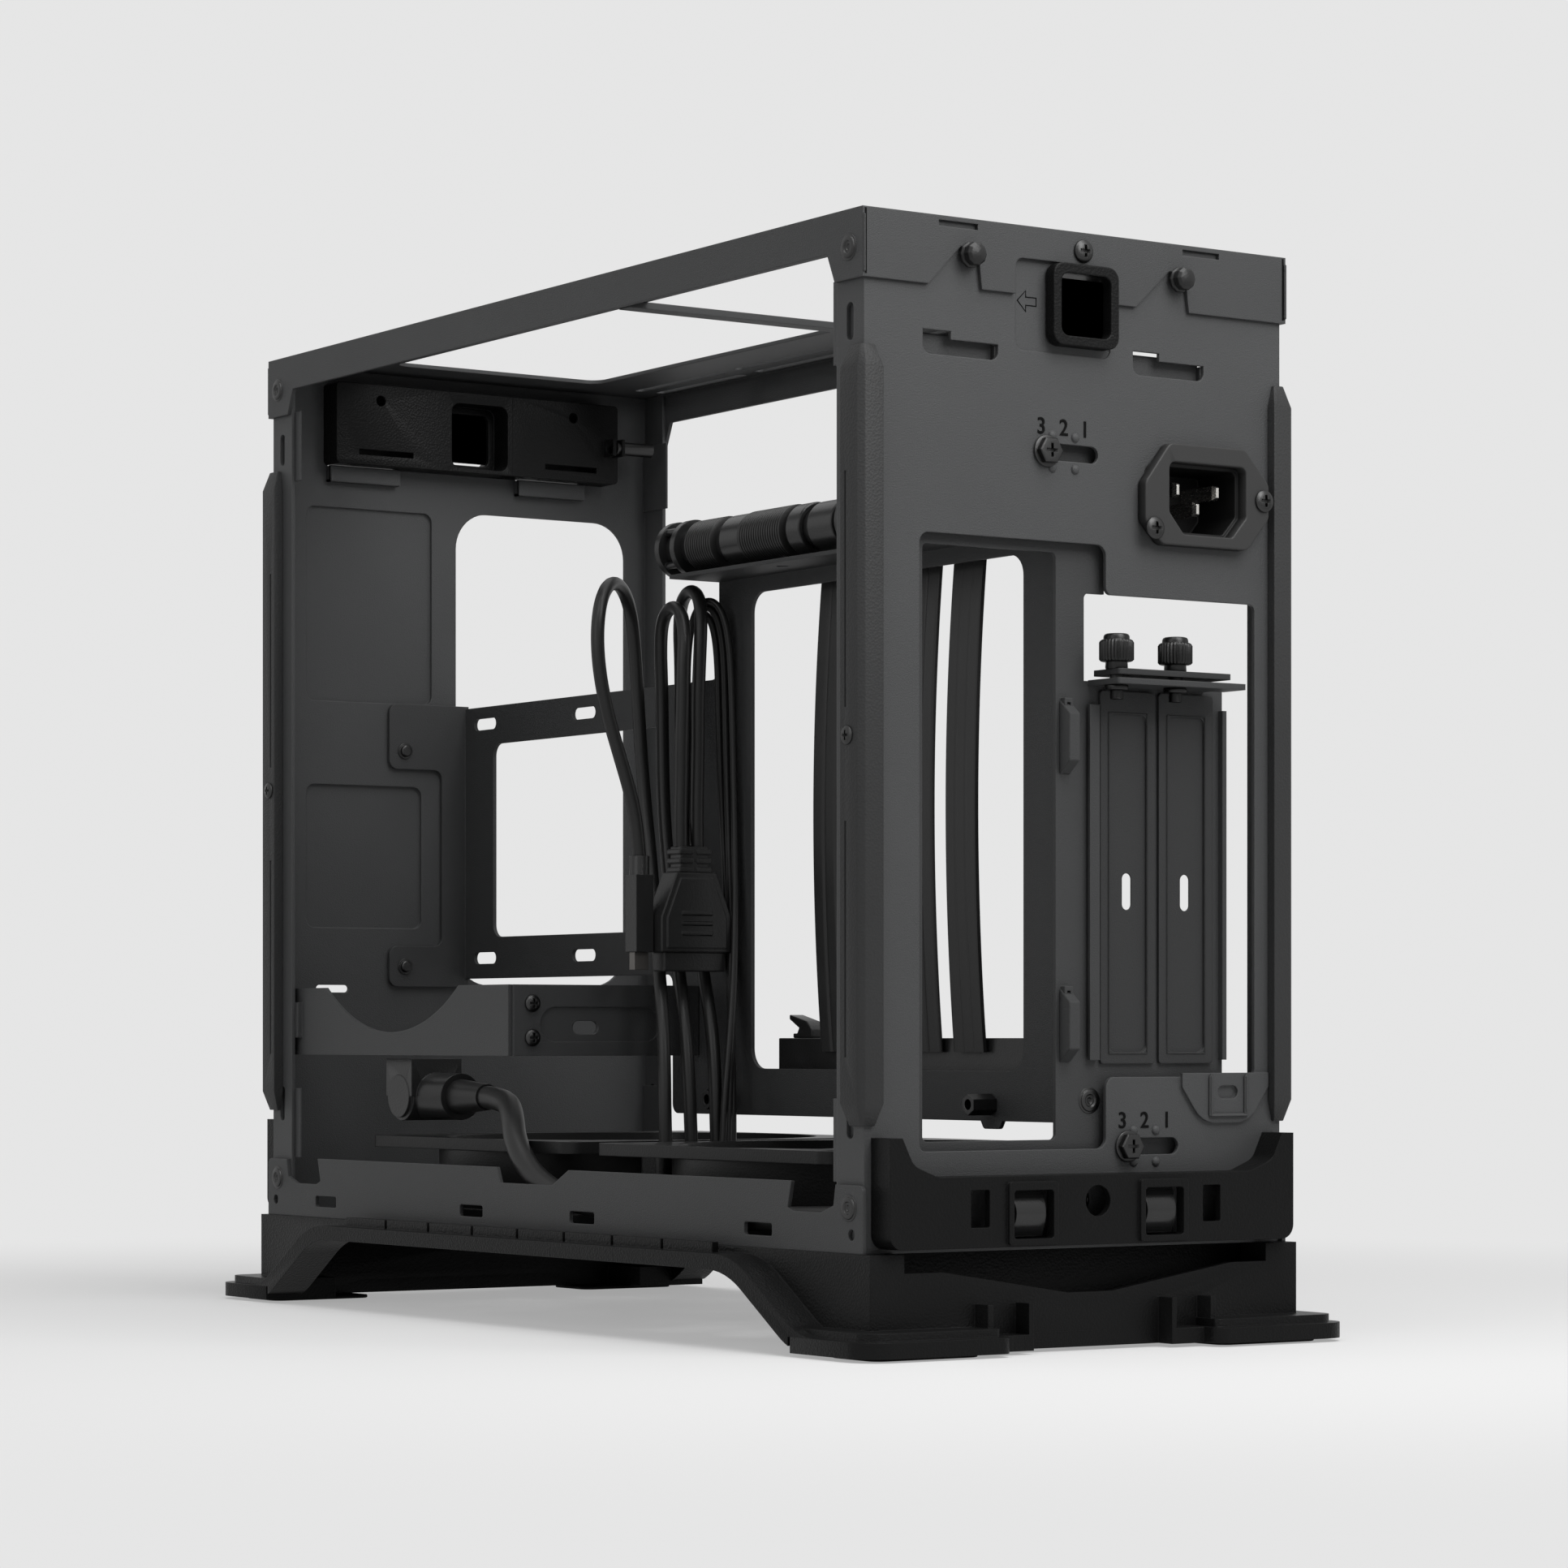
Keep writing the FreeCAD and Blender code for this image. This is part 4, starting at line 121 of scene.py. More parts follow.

# %% [markdown]
# ## A finish under construction
#
# `Finish` holds the nodes of one material, or of the world, and has a single method for every other kind
# of node. The settings come first, because some of them change which sockets a node has. One method compares
# a rounded normal with the flat one: the two differ only along edges, where a coat rubs thin, and the
# finishes also lighten those edges as a painted highlight.

# %% One method for every other node
class Finish:
    """The nodes of a material, or of the world."""

    def __init__(self, name, owner=None):
        self.owner = owner or bpy.data.materials.new(name)
        self.owner.use_nodes = True
        self.tree = self.owner.node_tree
        self.surface = next(n for n in self.tree.nodes if n.type in ("BSDF_PRINCIPLED", "BACKGROUND"))
        self.end = next(n for n in self.tree.nodes if n.type.startswith("OUTPUT"))

    def node(self, kind, settings=None, inputs=None, output=0):
        """Add a node, set it up, feed its inputs and hand back one output."""
        made = self.tree.nodes.new("ShaderNode" + kind)
        for key, value in (settings or {}).items():
            if key == "stops":
                ramp = made.color_ramp
                for i, (place, shade) in enumerate(value):
                    stop = ramp.elements[i] if i < 2 else ramp.elements.new(place)
                    stop.position, stop.color = place, (shade, shade, shade, 1.0)
            else:
                setattr(made, key, value)
        for key, value in (inputs or {}).items():
            self.feed(made.inputs[key], value)
        return Wire(self, made.outputs[output])

    def feed(self, socket, value):
        """Link a wire, or set a plain value."""
        if isinstance(value, Wire):
            self.tree.links.new(value.socket, socket)
        else:
            socket.default_value = value

    def set(self, **values):
        """Set the surface's own sockets, such as Base_Color or Roughness."""
        for key, value in values.items():
            self.feed(self.surface.inputs[key.replace("_", " ")], value)
        return self

    def own(self):
        """What the surface itself shows."""
        return Wire(self, self.surface.outputs[0])

    def show(self, shader):
        """Let the output show a shader."""
        self.feed(self.end.inputs[0], shader)

    def place(self):
        """Where a point lies on the part, in metres."""
        return self.node("TexCoord", output="Object")

    def noise(self, scale, detail, where=None):
        """Soft clouds, or grain where the scale is large."""
        return self.node("TexNoise", {}, {"Vector": where or self.place(), "Scale": scale, "Detail": detail})

    def blend(self, amount, first, second):
        """Mix two colours."""
        return self.node("Mix", {"data_type": "RGBA"}, {0: amount, 6: first, 7: second}, output=2)

    def edge_wear_and_highlight(self, radius):
        """High on outside edges, where a coat rubs thin and where a painted highlight is laid."""
        rounded = self.node("Bevel", {"samples": 4}, {"Radius": radius})
        flat = self.node("NewGeometry", output="Normal")
        along = self.node("VectorMath", {"operation": "DOT_PRODUCT"}, {0: rounded, 1: flat}, output="Value")
        return rounded, self.node("ValToRGB", {"stops": [(0.02, 0.0), (0.25, 1.0)]}, {0: 1.0 - along})


print("one class for every finish")

# %% [markdown]
# ## Finishes
#
# Nearly everything here is black, so the finishes differ in how they catch light. Powder coat is melted
# plastic dust: it has a fine orange-peel bump and thins at folded edges, which are lightened partly for that
# and partly as a painted highlight. Moulded parts carry a spark-eroded grain. Plated screws are smoother.
# The leads have a soft satin jacket. Each finish is one function of a colour and a roughness, so that a
# part's neighbours differ a little. The pale room mirrors in rough black plastic as a grey haze, and a low
# specular level keeps that haze faint.

# %% Powder coat for the folded steel
MM = 0.001
PEEL = 0.1 * MM


def grey(level, warm=0.0):
    """A near-neutral colour, a touch warm or cool."""
    return (level * (1 + warm), level, level * (1 - warm), 1.0)


def powder_coat(name, level, rough=0.46):
    """Textured black coat on sheet steel."""
    coat = Finish(name)
    rounded, edge = coat.edge_wear_and_highlight(0.0005)
    fine = coat.noise(2600.0, 3.0)
    cloud = coat.noise(34.0, 3.0)
    specks = coat.noise(5200.0, 1.0)
    tint = coat.blend(cloud * 0.7, grey(level * 0.9, -0.02), grey(level * 1.12, -0.02))
    # Lighter edges: partly a coat rubbed thin, partly a painted highlight.
    tint = coat.blend(edge * fine * 0.55, tint, grey(level * 2.6))
    bump = coat.node("Bump", {}, {"Strength": 1.0, "Distance": PEEL, "Height": fine + specks * 0.35,
                                  "Normal": rounded})
    coat.set(Base_Color=tint, Roughness=rough + cloud * 0.12 - edge * 0.08, Normal=bump,
             Specular_IOR_Level=0.28)
    return coat.owner


frame_coat = powder_coat("frame_powder_coat", 0.048)
panel_coat = powder_coat("panel_powder_coat", 0.056, 0.44)
spine_coat = powder_coat("spine_powder_coat", 0.040, 0.5)
cover_coat = powder_coat("cover_powder_coat", 0.026, 0.5)
print("powder coats:", frame_coat.name, panel_coat.name, spine_coat.name, cover_coat.name)


# %% Grained mouldings
def moulding(name, level, rough=0.5, grain=0.08, warm=-0.01, shine=0.16):
    """Black plastic out of a mould with a grain so many millimetres deep."""
    skin = Finish(name)
    rounded, edge = skin.edge_wear_and_highlight(0.0004)
    pits = skin.node("TexVoronoi", {"feature": "F1"}, {"Vector": skin.place(), "Scale": 1500.0})
    cloud = skin.noise(22.0, 4.0)
    tint = skin.blend(cloud, grey(level * 0.86, warm), grey(level * 1.16, warm))
    # Lighter edges: partly rubbed, partly a painted highlight.
    tint = skin.blend(edge * 0.35, tint, grey(level * 1.9))
    bump = skin.node("Bump", {}, {"Strength": 1.0, "Distance": grain * MM, "Height": pits,
                                  "Normal": rounded})
    skin.set(Base_Color=tint, Roughness=rough + cloud * 0.1, Normal=bump, Specular_IOR_Level=shine)
    return skin.owner


base_plastic = moulding("base_moulding", 0.006, 0.34, shine=0.1)
guard_plastic = moulding("guard_moulding", 0.034, 0.42)
fan_plastic = moulding("fan_moulding", 0.013, 0.34, 0.03)
plug_plastic = moulding("plug_moulding", 0.014, 0.28, 0.03, shine=0.35)
socket_plastic = moulding("socket_moulding", 0.10, 0.5, 0.03)
foot_rubber = moulding("foot_rubber", 0.012, 0.7, 0.15, 0.02)
stud_nylon = moulding("stud_nylon", 0.012, 0.26, 0.02, shine=0.3)
# Near-black for the digits and the arrow, and as painted shadow in the collar's seams.
mark_and_seam_shadow_black = moulding("mark_and_seam_shadow_black", 0.004, 0.5, 0.01, shine=0.05)
tongue_steel = moulding("tongue_black", 0.014, 0.2, 0.01, shine=0.4)
print("mouldings ready")


# %% Plated, brass and bright metal
MACHINING = 0.03 * MM


def plated(name, colour, rough):
    """A turned or stamped metal with faint machining."""
    metal = Finish(name)
    rounded, edge = metal.edge_wear_and_highlight(0.0003)
    where = metal.node("VectorMath", {"operation": "MULTIPLY"}, {0: metal.place(), 1: (1.0, 1.0, 9.0)})
    lines = metal.noise(900.0, 3.0, where)
    bright = tuple(min(1.0, channel * 1.7) for channel in colour[:3]) + (1.0,)
    # Edges lean to the brighter colour: partly rubbed, partly a painted highlight; the machining lines are
    # the metal's own.
    tint = metal.blend(edge * 0.5 + lines * 0.12, colour, bright)
    bump = metal.node("Bump", {}, {"Strength": 1.0, "Distance": MACHINING, "Height": lines,
                                   "Normal": rounded})
    metal.set(Base_Color=tint, Metallic=1.0, Roughness=rough + lines * 0.12, Normal=bump)
    return metal.owner


black_zinc = plated("black_zinc", grey(0.05), 0.3)
knob_black = plated("knob_black", grey(0.032), 0.26)
bright_pin = plated("bright_nickel", (0.68, 0.66, 0.62, 1.0), 0.2)
contact_brass = plated("contact_brass", (0.60, 0.45, 0.21, 1.0), 0.3)
dull_contact = plated("dull_contact", grey(0.14, 0.05), 0.36)
print("metals ready")


# %% Jackets of the leads and the ribbon
def jacket(name, level, rough):
    """A satin cable jacket."""
    skin = Finish(name)
    cloud = skin.noise(60.0, 3.0)
    fine = skin.noise(1800.0, 2.0)
    tint = skin.blend(cloud, grey(level * 0.85), grey(level * 1.2))
    bump = skin.node("Bump", {}, {"Strength": 1.0, "Distance": 0.00002, "Height": fine})
    skin.set(Base_Color=tint, Roughness=rough + cloud * 0.1, Normal=bump, Specular_IOR_Level=0.3)
    return skin.owner


lead_jacket = jacket("lead_jacket", 0.014, 0.38)
cable_jacket = jacket("cable_jacket", 0.012, 0.34)
ribbon_jacket = jacket("ribbon_jacket", 0.016, 0.34)
tube_gloss = moulding("tube_satin", 0.014, 0.24, 0.02, shine=0.4)
print("jackets ready")

# %% [markdown]
# ## Giving the loaded parts their finish
#
# A loaded part has one material slot. Swapping the material in that slot keeps its shape, its place and
# its body, and only changes what it is made of. Most parts go by their slot. The inlet gets a finish of
# its own, with painted shade in its cup: the colour follows the depth of a point, from black in the cup
# to dark grey on the rim.

# %% The inlet's own finish
RIM_STARTS, RIM_ENDS = 0.1655, 0.1685
inlet_skin = Finish("inlet_moulding")
inlet_depth = inlet_skin.node("SeparateXYZ", {}, {0: inlet_skin.place()}, output="Y")
rim_over_painted_cup_shade = inlet_skin.node("MapRange", {}, {0: inlet_depth, 1: RIM_STARTS, 2: RIM_ENDS, 3: 0.0, 4: 1.0})
# Painted shade: the cup darkens to near-black with depth; only the rim keeps the moulding's dark grey.
inlet_skin.set(Base_Color=inlet_skin.blend(rim_over_painted_cup_shade, grey(0.001), grey(0.032)),
               Roughness=0.55 - rim_over_painted_cup_shade * 0.12, Normal=inlet_skin.edge_wear_and_highlight(0.0004)[0],
               Specular_IOR_Level=0.25)
print("inlet: black inside, dark grey on its rim")

# %% One finish for each kind of part
FINISH_OF = {
    "steel": frame_coat, "plastic": base_plastic, "hardware": black_zinc, "rubber": foot_rubber,
    "fan": fan_plastic, "cable": cable_jacket, "ribbon": ribbon_jacket, "connector": plug_plastic,
    "socket": socket_plastic, "brass": contact_brass, "pin_metal": bright_pin, "tube": tube_gloss,
}
OWN_FINISH = {
    "rear_panel": panel_coat, "front_panel": panel_coat, "spine_tray": spine_coat, "io_plate": spine_coat,
    "slot_cover_1": cover_coat, "slot_cover_2": cover_coat, "slot_clamp": cover_coat,
    "mains_inlet": inlet_skin.owner, "slim_contact": dull_contact, "thumbscrews": knob_black,
}
SLOT_OF = {entry["node"]: entry["material_slot"] for entry in frame["record"]["subparts"]}
BODY_OF = {node: body for body, nodes in frame["record"]["behaviour"]["bodies"].items() for node in nodes}


def finish_of(node):
    """A part's own finish, a guard's, or the one that its slot asks for."""
    if node in OWN_FINISH:
        return OWN_FINISH[node]
    if node.startswith("guard_") and node != "guard_screws":
        return guard_plastic
    return FINISH_OF[SLOT_OF[node]]


for node, thing in frame["nodes"].items():
    thing.data.materials.clear()
    thing.data.materials.append(finish_of(node))
print("finished", len(frame["nodes"]), "parts")

# %% [markdown]
# ## Leads first
#
# A lead is a line with a thickness. A NURBS curve smooths the run of points into the bends a real
# jacket takes, and the curve's bevel gives it its diameter. The mains lead runs from an angled plug, along
# the floor beside the fans, round the rear corner and up to the inlet. Three thin cables rise out of the
# floor between the fans, loop over and come down into two small connectors, and three thinner strands
# keep them company.

# %% Route of the mains lead, in metres
MAINS_ROUTE = [
    (0.054, -0.058, 0.066), (0.0556, -0.0435, 0.0654), (0.0602, -0.0326, 0.061),
    (0.0642, -0.0244, 0.053), (0.0655, -0.0136, 0.0444), (0.0655, 0.0016, 0.0384),
    (0.0654, 0.0206, 0.0356), (0.0654, 0.038, 0.0348), (0.0656, 0.0541, 0.0347),
    (0.0656, 0.0713, 0.0345), (0.0655, 0.0885, 0.0346), (0.0657, 0.1057, 0.0346),
    (0.0647, 0.1229, 0.035), (0.0593, 0.139, 0.0356), (0.0455, 0.149, 0.036), (0.0288, 0.153, 0.0358),
    (0.0117, 0.1542, 0.0356), (-0.0055, 0.1545, 0.0359), (-0.0227, 0.1535, 0.0359),
    (-0.0397, 0.1511, 0.0356), (-0.0549, 0.1433, 0.0358), (-0.0637, 0.1289, 0.036),
    (-0.0658, 0.112, 0.0375), (-0.0639, 0.0967, 0.0448), (-0.0609, 0.0866, 0.0585),
    (-0.06, 0.0824, 0.0752), (-0.06, 0.0808, 0.0923), (-0.0597, 0.0799, 0.1095),
    (-0.0599, 0.0786, 0.1267), (-0.0598, 0.0778, 0.1438), (-0.06, 0.0771, 0.161),
    (-0.06, 0.0771, 0.1782), (-0.0607, 0.0782, 0.1954), (-0.0608, 0.0822, 0.212),
    (-0.0584, 0.0907, 0.226), (-0.0516, 0.1043, 0.2335), (-0.0453, 0.1203, 0.2338),
    (-0.0424, 0.137, 0.2324),
]
print("mains lead has", len(MAINS_ROUTE), "route points")

# %% Routes of the three front cables
FRONT_CABLE_1 = [
    (0.012, 0.0052, 0.052), (0.0122, 0.005, 0.0616), (0.0119, 0.0041, 0.0713),
    (0.0113, 0.0024, 0.0807), (0.0103, -0.0008, 0.0898), (0.0093, -0.0049, 0.0983),
    (0.0077, -0.0095, 0.1068), (0.0069, -0.0133, 0.1157), (0.0062, -0.0169, 0.1246),
    (0.0056, -0.0199, 0.1338), (0.0052, -0.0223, 0.1431), (0.0049, -0.024, 0.1528),
    (0.0048, -0.0252, 0.1636), (0.0045, -0.026, 0.1752), (0.0043, -0.0265, 0.1871),
    (0.0043, -0.0267, 0.1987), (0.0053, -0.0259, 0.2092), (0.0078, -0.0207, 0.2167),
    (0.01, -0.0118, 0.2193), (0.0123, -0.0034, 0.2156), (0.0147, 0.0008, 0.2074),
    (0.0155, 0.0012, 0.1966), (0.0159, 0.001, 0.1849), (0.0156, 0.0005, 0.173),
    (0.0156, 0.0002, 0.1614), (0.0159, 0.0003, 0.1508), (0.0156, 0, 0.141),
]

FRONT_CABLE_2 = [
    (0.021, 0.0052, 0.052), (0.0213, 0.0051, 0.0613), (0.0212, 0.0042, 0.0707),
    (0.0208, 0.0026, 0.0799), (0.0197, -0.0004, 0.0886), (0.018, -0.0047, 0.0967),
    (0.0162, -0.0093, 0.1047), (0.0147, -0.0133, 0.113), (0.0133, -0.0172, 0.1214),
    (0.0121, -0.0206, 0.13), (0.0111, -0.0235, 0.1389), (0.0105, -0.0257, 0.1479),
    (0.0102, -0.0271, 0.1578), (0.0099, -0.028, 0.1688), (0.0097, -0.0286, 0.1802),
    (0.0098, -0.0287, 0.1917), (0.0108, -0.0279, 0.2024), (0.0131, -0.0233, 0.2106),
    (0.0153, -0.0151, 0.2141), (0.0174, -0.0063, 0.2121), (0.0197, -0.0005, 0.2051),
    (0.0213, 0.0011, 0.1947), (0.0214, 0.001, 0.1834), (0.0217, 0.0009, 0.1718),
    (0.0214, 0.0003, 0.1607), (0.0217, 0.0003, 0.1504), (0.0214, 0, 0.141),
]

FRONT_CABLE_3 = [
    (0.03, 0.0052, 0.052), (0.0302, 0.005, 0.0615), (0.0297, 0.0041, 0.071), (0.0289, 0.0025, 0.0803),
    (0.0274, -0.0005, 0.0893), (0.0255, -0.0046, 0.0976), (0.0235, -0.009, 0.1059),
    (0.0216, -0.013, 0.1143), (0.0197, -0.0172, 0.1227), (0.018, -0.021, 0.1312),
    (0.0169, -0.0241, 0.1402), (0.0163, -0.0268, 0.1493), (0.0161, -0.0288, 0.1594),
    (0.0165, -0.0299, 0.1707), (0.0169, -0.0305, 0.1824), (0.0176, -0.0307, 0.194),
    (0.0187, -0.0303, 0.2049), (0.0217, -0.0277, 0.2137), (0.0275, -0.0226, 0.2192),
    (0.0345, -0.0164, 0.2205), (0.0413, -0.0105, 0.2177), (0.0463, -0.006, 0.2111),
    (0.048, -0.0044, 0.2012), (0.0472, -0.0038, 0.1901), (0.0446, -0.0034, 0.1787),
    (0.041, -0.0031, 0.1678), (0.0374, -0.003, 0.1573), (0.035, -0.0029, 0.1475),
    (0.0342, -0.0028, 0.138),
]

print("front cables have", len(FRONT_CABLE_1), len(FRONT_CABLE_2), len(FRONT_CABLE_3), "route points")


# %% A round lead on its route
def lay_lead(name, node, route, diameter, finish, instead=True):
    """A smooth lead that rides with the frame, and stands for its solid or goes beside it."""
    line = bpy.data.curves.new(name, "CURVE")
    line.dimensions = "3D"
    spline = line.splines.new("NURBS")
    spline.points.add(len(route) - 1)
    for point, spot in zip(spline.points, route):
        point.co = (*spot, 1.0)
    spline.order_u = 3
    spline.use_endpoint_u = True
    line.resolution_u = 8
    line.bevel_depth = diameter / 2
    line.bevel_resolution = 6
    line.use_fill_caps = True
    line.materials.append(finish)
    lead = bpy.data.objects.new(name, line)
    bpy.context.scene.collection.objects.link(lead)
    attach(lead, "chassis")
    if instead:
        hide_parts(node)
    return lead


MAINS_WIDE, CABLE_WIDE, STRAND_WIDE = 0.007, 0.004, 0.0022
lay_lead("mains_cord", "mains_lead", MAINS_ROUTE, MAINS_WIDE, lead_jacket)
front_cables = ((FRONT_CABLE_1, 0.266), (FRONT_CABLE_2, 0.258), (FRONT_CABLE_3, 0.281))
for number, (route, length) in enumerate(front_cables, 1):
    lay_lead(f"panel_cord_{number}", f"front_cable_{number}", route, CABLE_WIDE, cable_jacket)
print("four leads laid")

# %% Thin strands beside the front cables
STRANDS = [
    [(0.0086, 0.0088, 0.0519), (0.0082, 0.0082, 0.064), (0.007, 0.0058, 0.08), (0.0054, 0.0024, 0.098),
     (0.0043, -0.0008, 0.118), (0.0039, -0.0034, 0.14), (0.0038, -0.0052, 0.162),
     (0.0038, -0.0062, 0.184), (0.004, -0.0066, 0.2), (0.0048, -0.0082, 0.2095),
     (0.0066, -0.0112, 0.213), (0.0084, -0.0144, 0.2095), (0.0092, -0.0162, 0.2),
     (0.0094, -0.0156, 0.184), (0.01, -0.0126, 0.168), (0.0116, -0.008, 0.154),
     (0.0136, -0.0036, 0.146), (0.0142, -0.0014, 0.141)],
    [(0.0106, 0.0092, 0.0519), (0.01, 0.0088, 0.064), (0.0082, 0.007, 0.08), (0.006, 0.0042, 0.098),
     (0.0045, 0.0016, 0.118), (0.0039, -0.0004, 0.14), (0.0038, -0.0018, 0.162),
     (0.0038, -0.0026, 0.184), (0.0041, -0.003, 0.201), (0.0052, -0.0048, 0.211),
     (0.0074, -0.008, 0.2146), (0.0096, -0.0116, 0.211), (0.0106, -0.0134, 0.201),
     (0.0109, -0.013, 0.184), (0.0118, -0.0104, 0.168), (0.014, -0.0066, 0.154),
     (0.0164, -0.0028, 0.146), (0.0172, -0.001, 0.141)],
    [(0.0126, 0.0094, 0.0519), (0.012, 0.0092, 0.064), (0.0098, 0.0084, 0.08), (0.007, 0.0066, 0.098),
     (0.005, 0.0046, 0.118), (0.004, 0.003, 0.14), (0.0038, 0.002, 0.162), (0.0039, 0.0014, 0.184),
     (0.0044, 0.0008, 0.202), (0.0058, -0.0012, 0.2124), (0.0084, -0.0046, 0.216),
     (0.011, -0.0084, 0.2124), (0.0122, -0.0104, 0.202), (0.0126, -0.0104, 0.184),
     (0.0138, -0.0086, 0.168), (0.0164, -0.0054, 0.154), (0.0188, -0.0022, 0.146),
     (0.0194, -0.0008, 0.141)],
]

for number, (route, length) in enumerate(zip(STRANDS, (0.239, 0.242, 0.245)), 1):
    lay_lead(f"panel_strand_{number}", f"front_cable_{min(number, 2)}", route, STRAND_WIDE,
             cable_jacket, instead=False)
print(len(STRANDS), "strands laid")

# %% [markdown]
# ## Soft edges on the mouldings
#
# No moulded edge is sharp, and it is the thin highlight along an edge that says plastic. A copy of the
# part's mesh has its flat faces joined up again, so that only true edges are left, and a bevel of a few
# tenths of a millimetre rounds those. The copy then stands for the part.

# %% A rounded copy of a part
WELD = 2e-6
FLAT_WITHIN, ROUND_ABOVE, CREASE_ABOVE = math.radians(0.6), math.radians(35.0), math.radians(24.0)


def applied(piece):
    """The mesh that a piece's modifiers make."""
    return bpy.data.meshes.new_from_object(piece.evaluated_get(bpy.context.evaluated_depsgraph_get()))


def softened(node, width):
    """Round a part's edges by a width in metres."""
    work = bmesh.new()
    work.from_mesh(frame["nodes"][node].data)
    bmesh.ops.remove_doubles(work, verts=work.verts, dist=WELD)
    bmesh.ops.dissolve_limit(work, angle_limit=FLAT_WITHIN, verts=work.verts, edges=work.edges)
    mesh = bpy.data.meshes.new(node + "_rounded")
    work.to_mesh(mesh)
    work.free()
    piece = bpy.data.objects.new(node + "_rounded", mesh)
    bpy.context.scene.collection.objects.link(piece)
    edge = piece.modifiers.new("edges", "BEVEL")
    edge.width, edge.segments, edge.limit_method, edge.angle_limit = width, 2, "ANGLE", ROUND_ABOVE
    rounded = applied(piece)
    piece.modifiers.clear()
    piece.data = rounded
    rounded.materials.clear()
    rounded.materials.append(finish_of(node))
    rounded.shade_smooth()
    rounded.set_sharp_from_angle(angle=CREASE_ABOVE)
    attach(piece, BODY_OF[node])
    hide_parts(node)


print("edges under", WELD, "m are welded")

# %% Round every moulding
EDGES = {
    "base": 0.0007, "rear_trim": 0.0004, "front_trim": 0.0004, "rear_bezel": 0.0003, "front_bezel": 0.0003,
    **{f"guard_{place}": 0.00015 for place in ("rear_left", "rear_right", "front_left", "front_right")},
    "mains_inlet": 0.0004, "mains_plug": 0.0008, "connector_slim": 0.0004,
    "riser_socket": 0.0003, "front_tray": 0.0003, "cable_gland": 0.0005, "foot_pads": 0.0003,
    "tube_rings": 0.0005, "tube_collars": 0.0003, "fan_frame_front": 0.0004, "fan_frame_rear": 0.0004,
    "dust_filter": 0.0003, "riser_latch": 0.0003,
}
for node, width in EDGES.items():
    softened(node, width)
print("rounded", len(EDGES), "mouldings")

# %% [markdown]
# ## Turned parts
#
# Screws, rivets, studs and knurled knobs all come off a lathe. Half of their outline, swung round an axis,
# is the whole part, so one function takes a list of heights and radii in millimetres. A third number in a
# row is the depth of knurling there. The steps between two heights show as rings, so a thread is only a
# list that goes in and out. What the lathe makes is a pile of rings with a skin over them.

# %% A small lathe
def skin_over(work, rings):
    """Join each ring of corners to the next one and close both ends."""
    for low, high in zip(rings, rings[1:]):
        for i in range(len(low)):
            after = (i + 1) % len(low)
            work.faces.new((low[i], low[after], high[after], high[i]))
    work.faces.new(list(reversed(rings[0])))
    work.faces.new(rings[-1])


def turned(work, profile, spot, along, ribs=0, segments=36):
    """Swing a profile in millimetres about an axis and add it to a mesh under construction."""
    spin = Vector(along).to_track_quat("Z", "Y").to_matrix()
    count = ribs * 4 if ribs else segments
    rings = []
    for height, radius, *knurl in profile:
        ring = []
        for i in range(count):
            angle = 2 * math.pi * i / count
            groove = knurl[0] * (0.5 - 0.5 * math.cos(ribs * angle)) if knurl else 0.0
            reach = radius - groove
            local = Vector((reach * math.cos(angle), reach * math.sin(angle), height))
            ring.append(work.verts.new((Vector(spot) + spin @ local) * MM))
        rings.append(ring)
    skin_over(work, rings)


print("lathe ready")


# %% From a mesh under construction to a piece of the case
def mesh_from(work, name):
    """Close a mesh under construction, with its faces turned outwards."""
    bmesh.ops.recalc_face_normals(work, faces=work.faces)
    mesh = bpy.data.meshes.new(name)
    work.to_mesh(mesh)
    work.free()
    return mesh


def put(name, mesh, node, finish=None, instead=True, crease=32.0):
    """Show a mesh as a piece of the case, on the body and with the slot of one of its nodes."""
    mesh.materials.clear()
    mesh.materials.append(finish or finish_of(node))
    mesh.shade_smooth()
    mesh.set_sharp_from_angle(angle=math.radians(crease))
    piece = bpy.data.objects.new(name, mesh)
    bpy.context.scene.collection.objects.link(piece)
    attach(piece, BODY_OF[node])
    if instead:
        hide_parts(node)


print("meshes can be put on the case")

# %% [markdown]
# ## Screws with a cross recess
#
# A pressed cross recess narrows towards its bottom, which is why it shows as a dark star with a bright lip
# and not as a flat cross. Each head is turned first, and a tapered punch is then taken away from it. The
# screws of the two positions have a hexagonal head on a broad flange, so that a driver or a spanner fits.

# %% Heads with a cross recess
def cross_cutter(work, spot, along, arm, slot, top, bottom):
    """A plus-shaped punch that narrows as it goes in."""
    spin = Vector(along).to_track_quat("Z", "Y").to_matrix()
    corners = [(arm, slot), (slot, slot), (slot, arm), (-slot, arm), (-slot, slot), (-arm, slot),
               (-arm, -slot), (-slot, -slot), (-slot, -arm), (slot, -arm), (slot, -slot), (arm, -slot)]
    rings = []
    for height, keep in ((bottom, 0.55), (top, 1.0)):
        ring = []
        for u, v in corners:
            keep_u, keep_v = (keep if abs(side) > slot else 1.0 for side in (u, v))
            local = Vector((u * keep_u, v * keep_v, height))
            ring.append(work.verts.new((Vector(spot) + spin @ local) * MM))
        rings.append(ring)
    skin_over(work, rings)


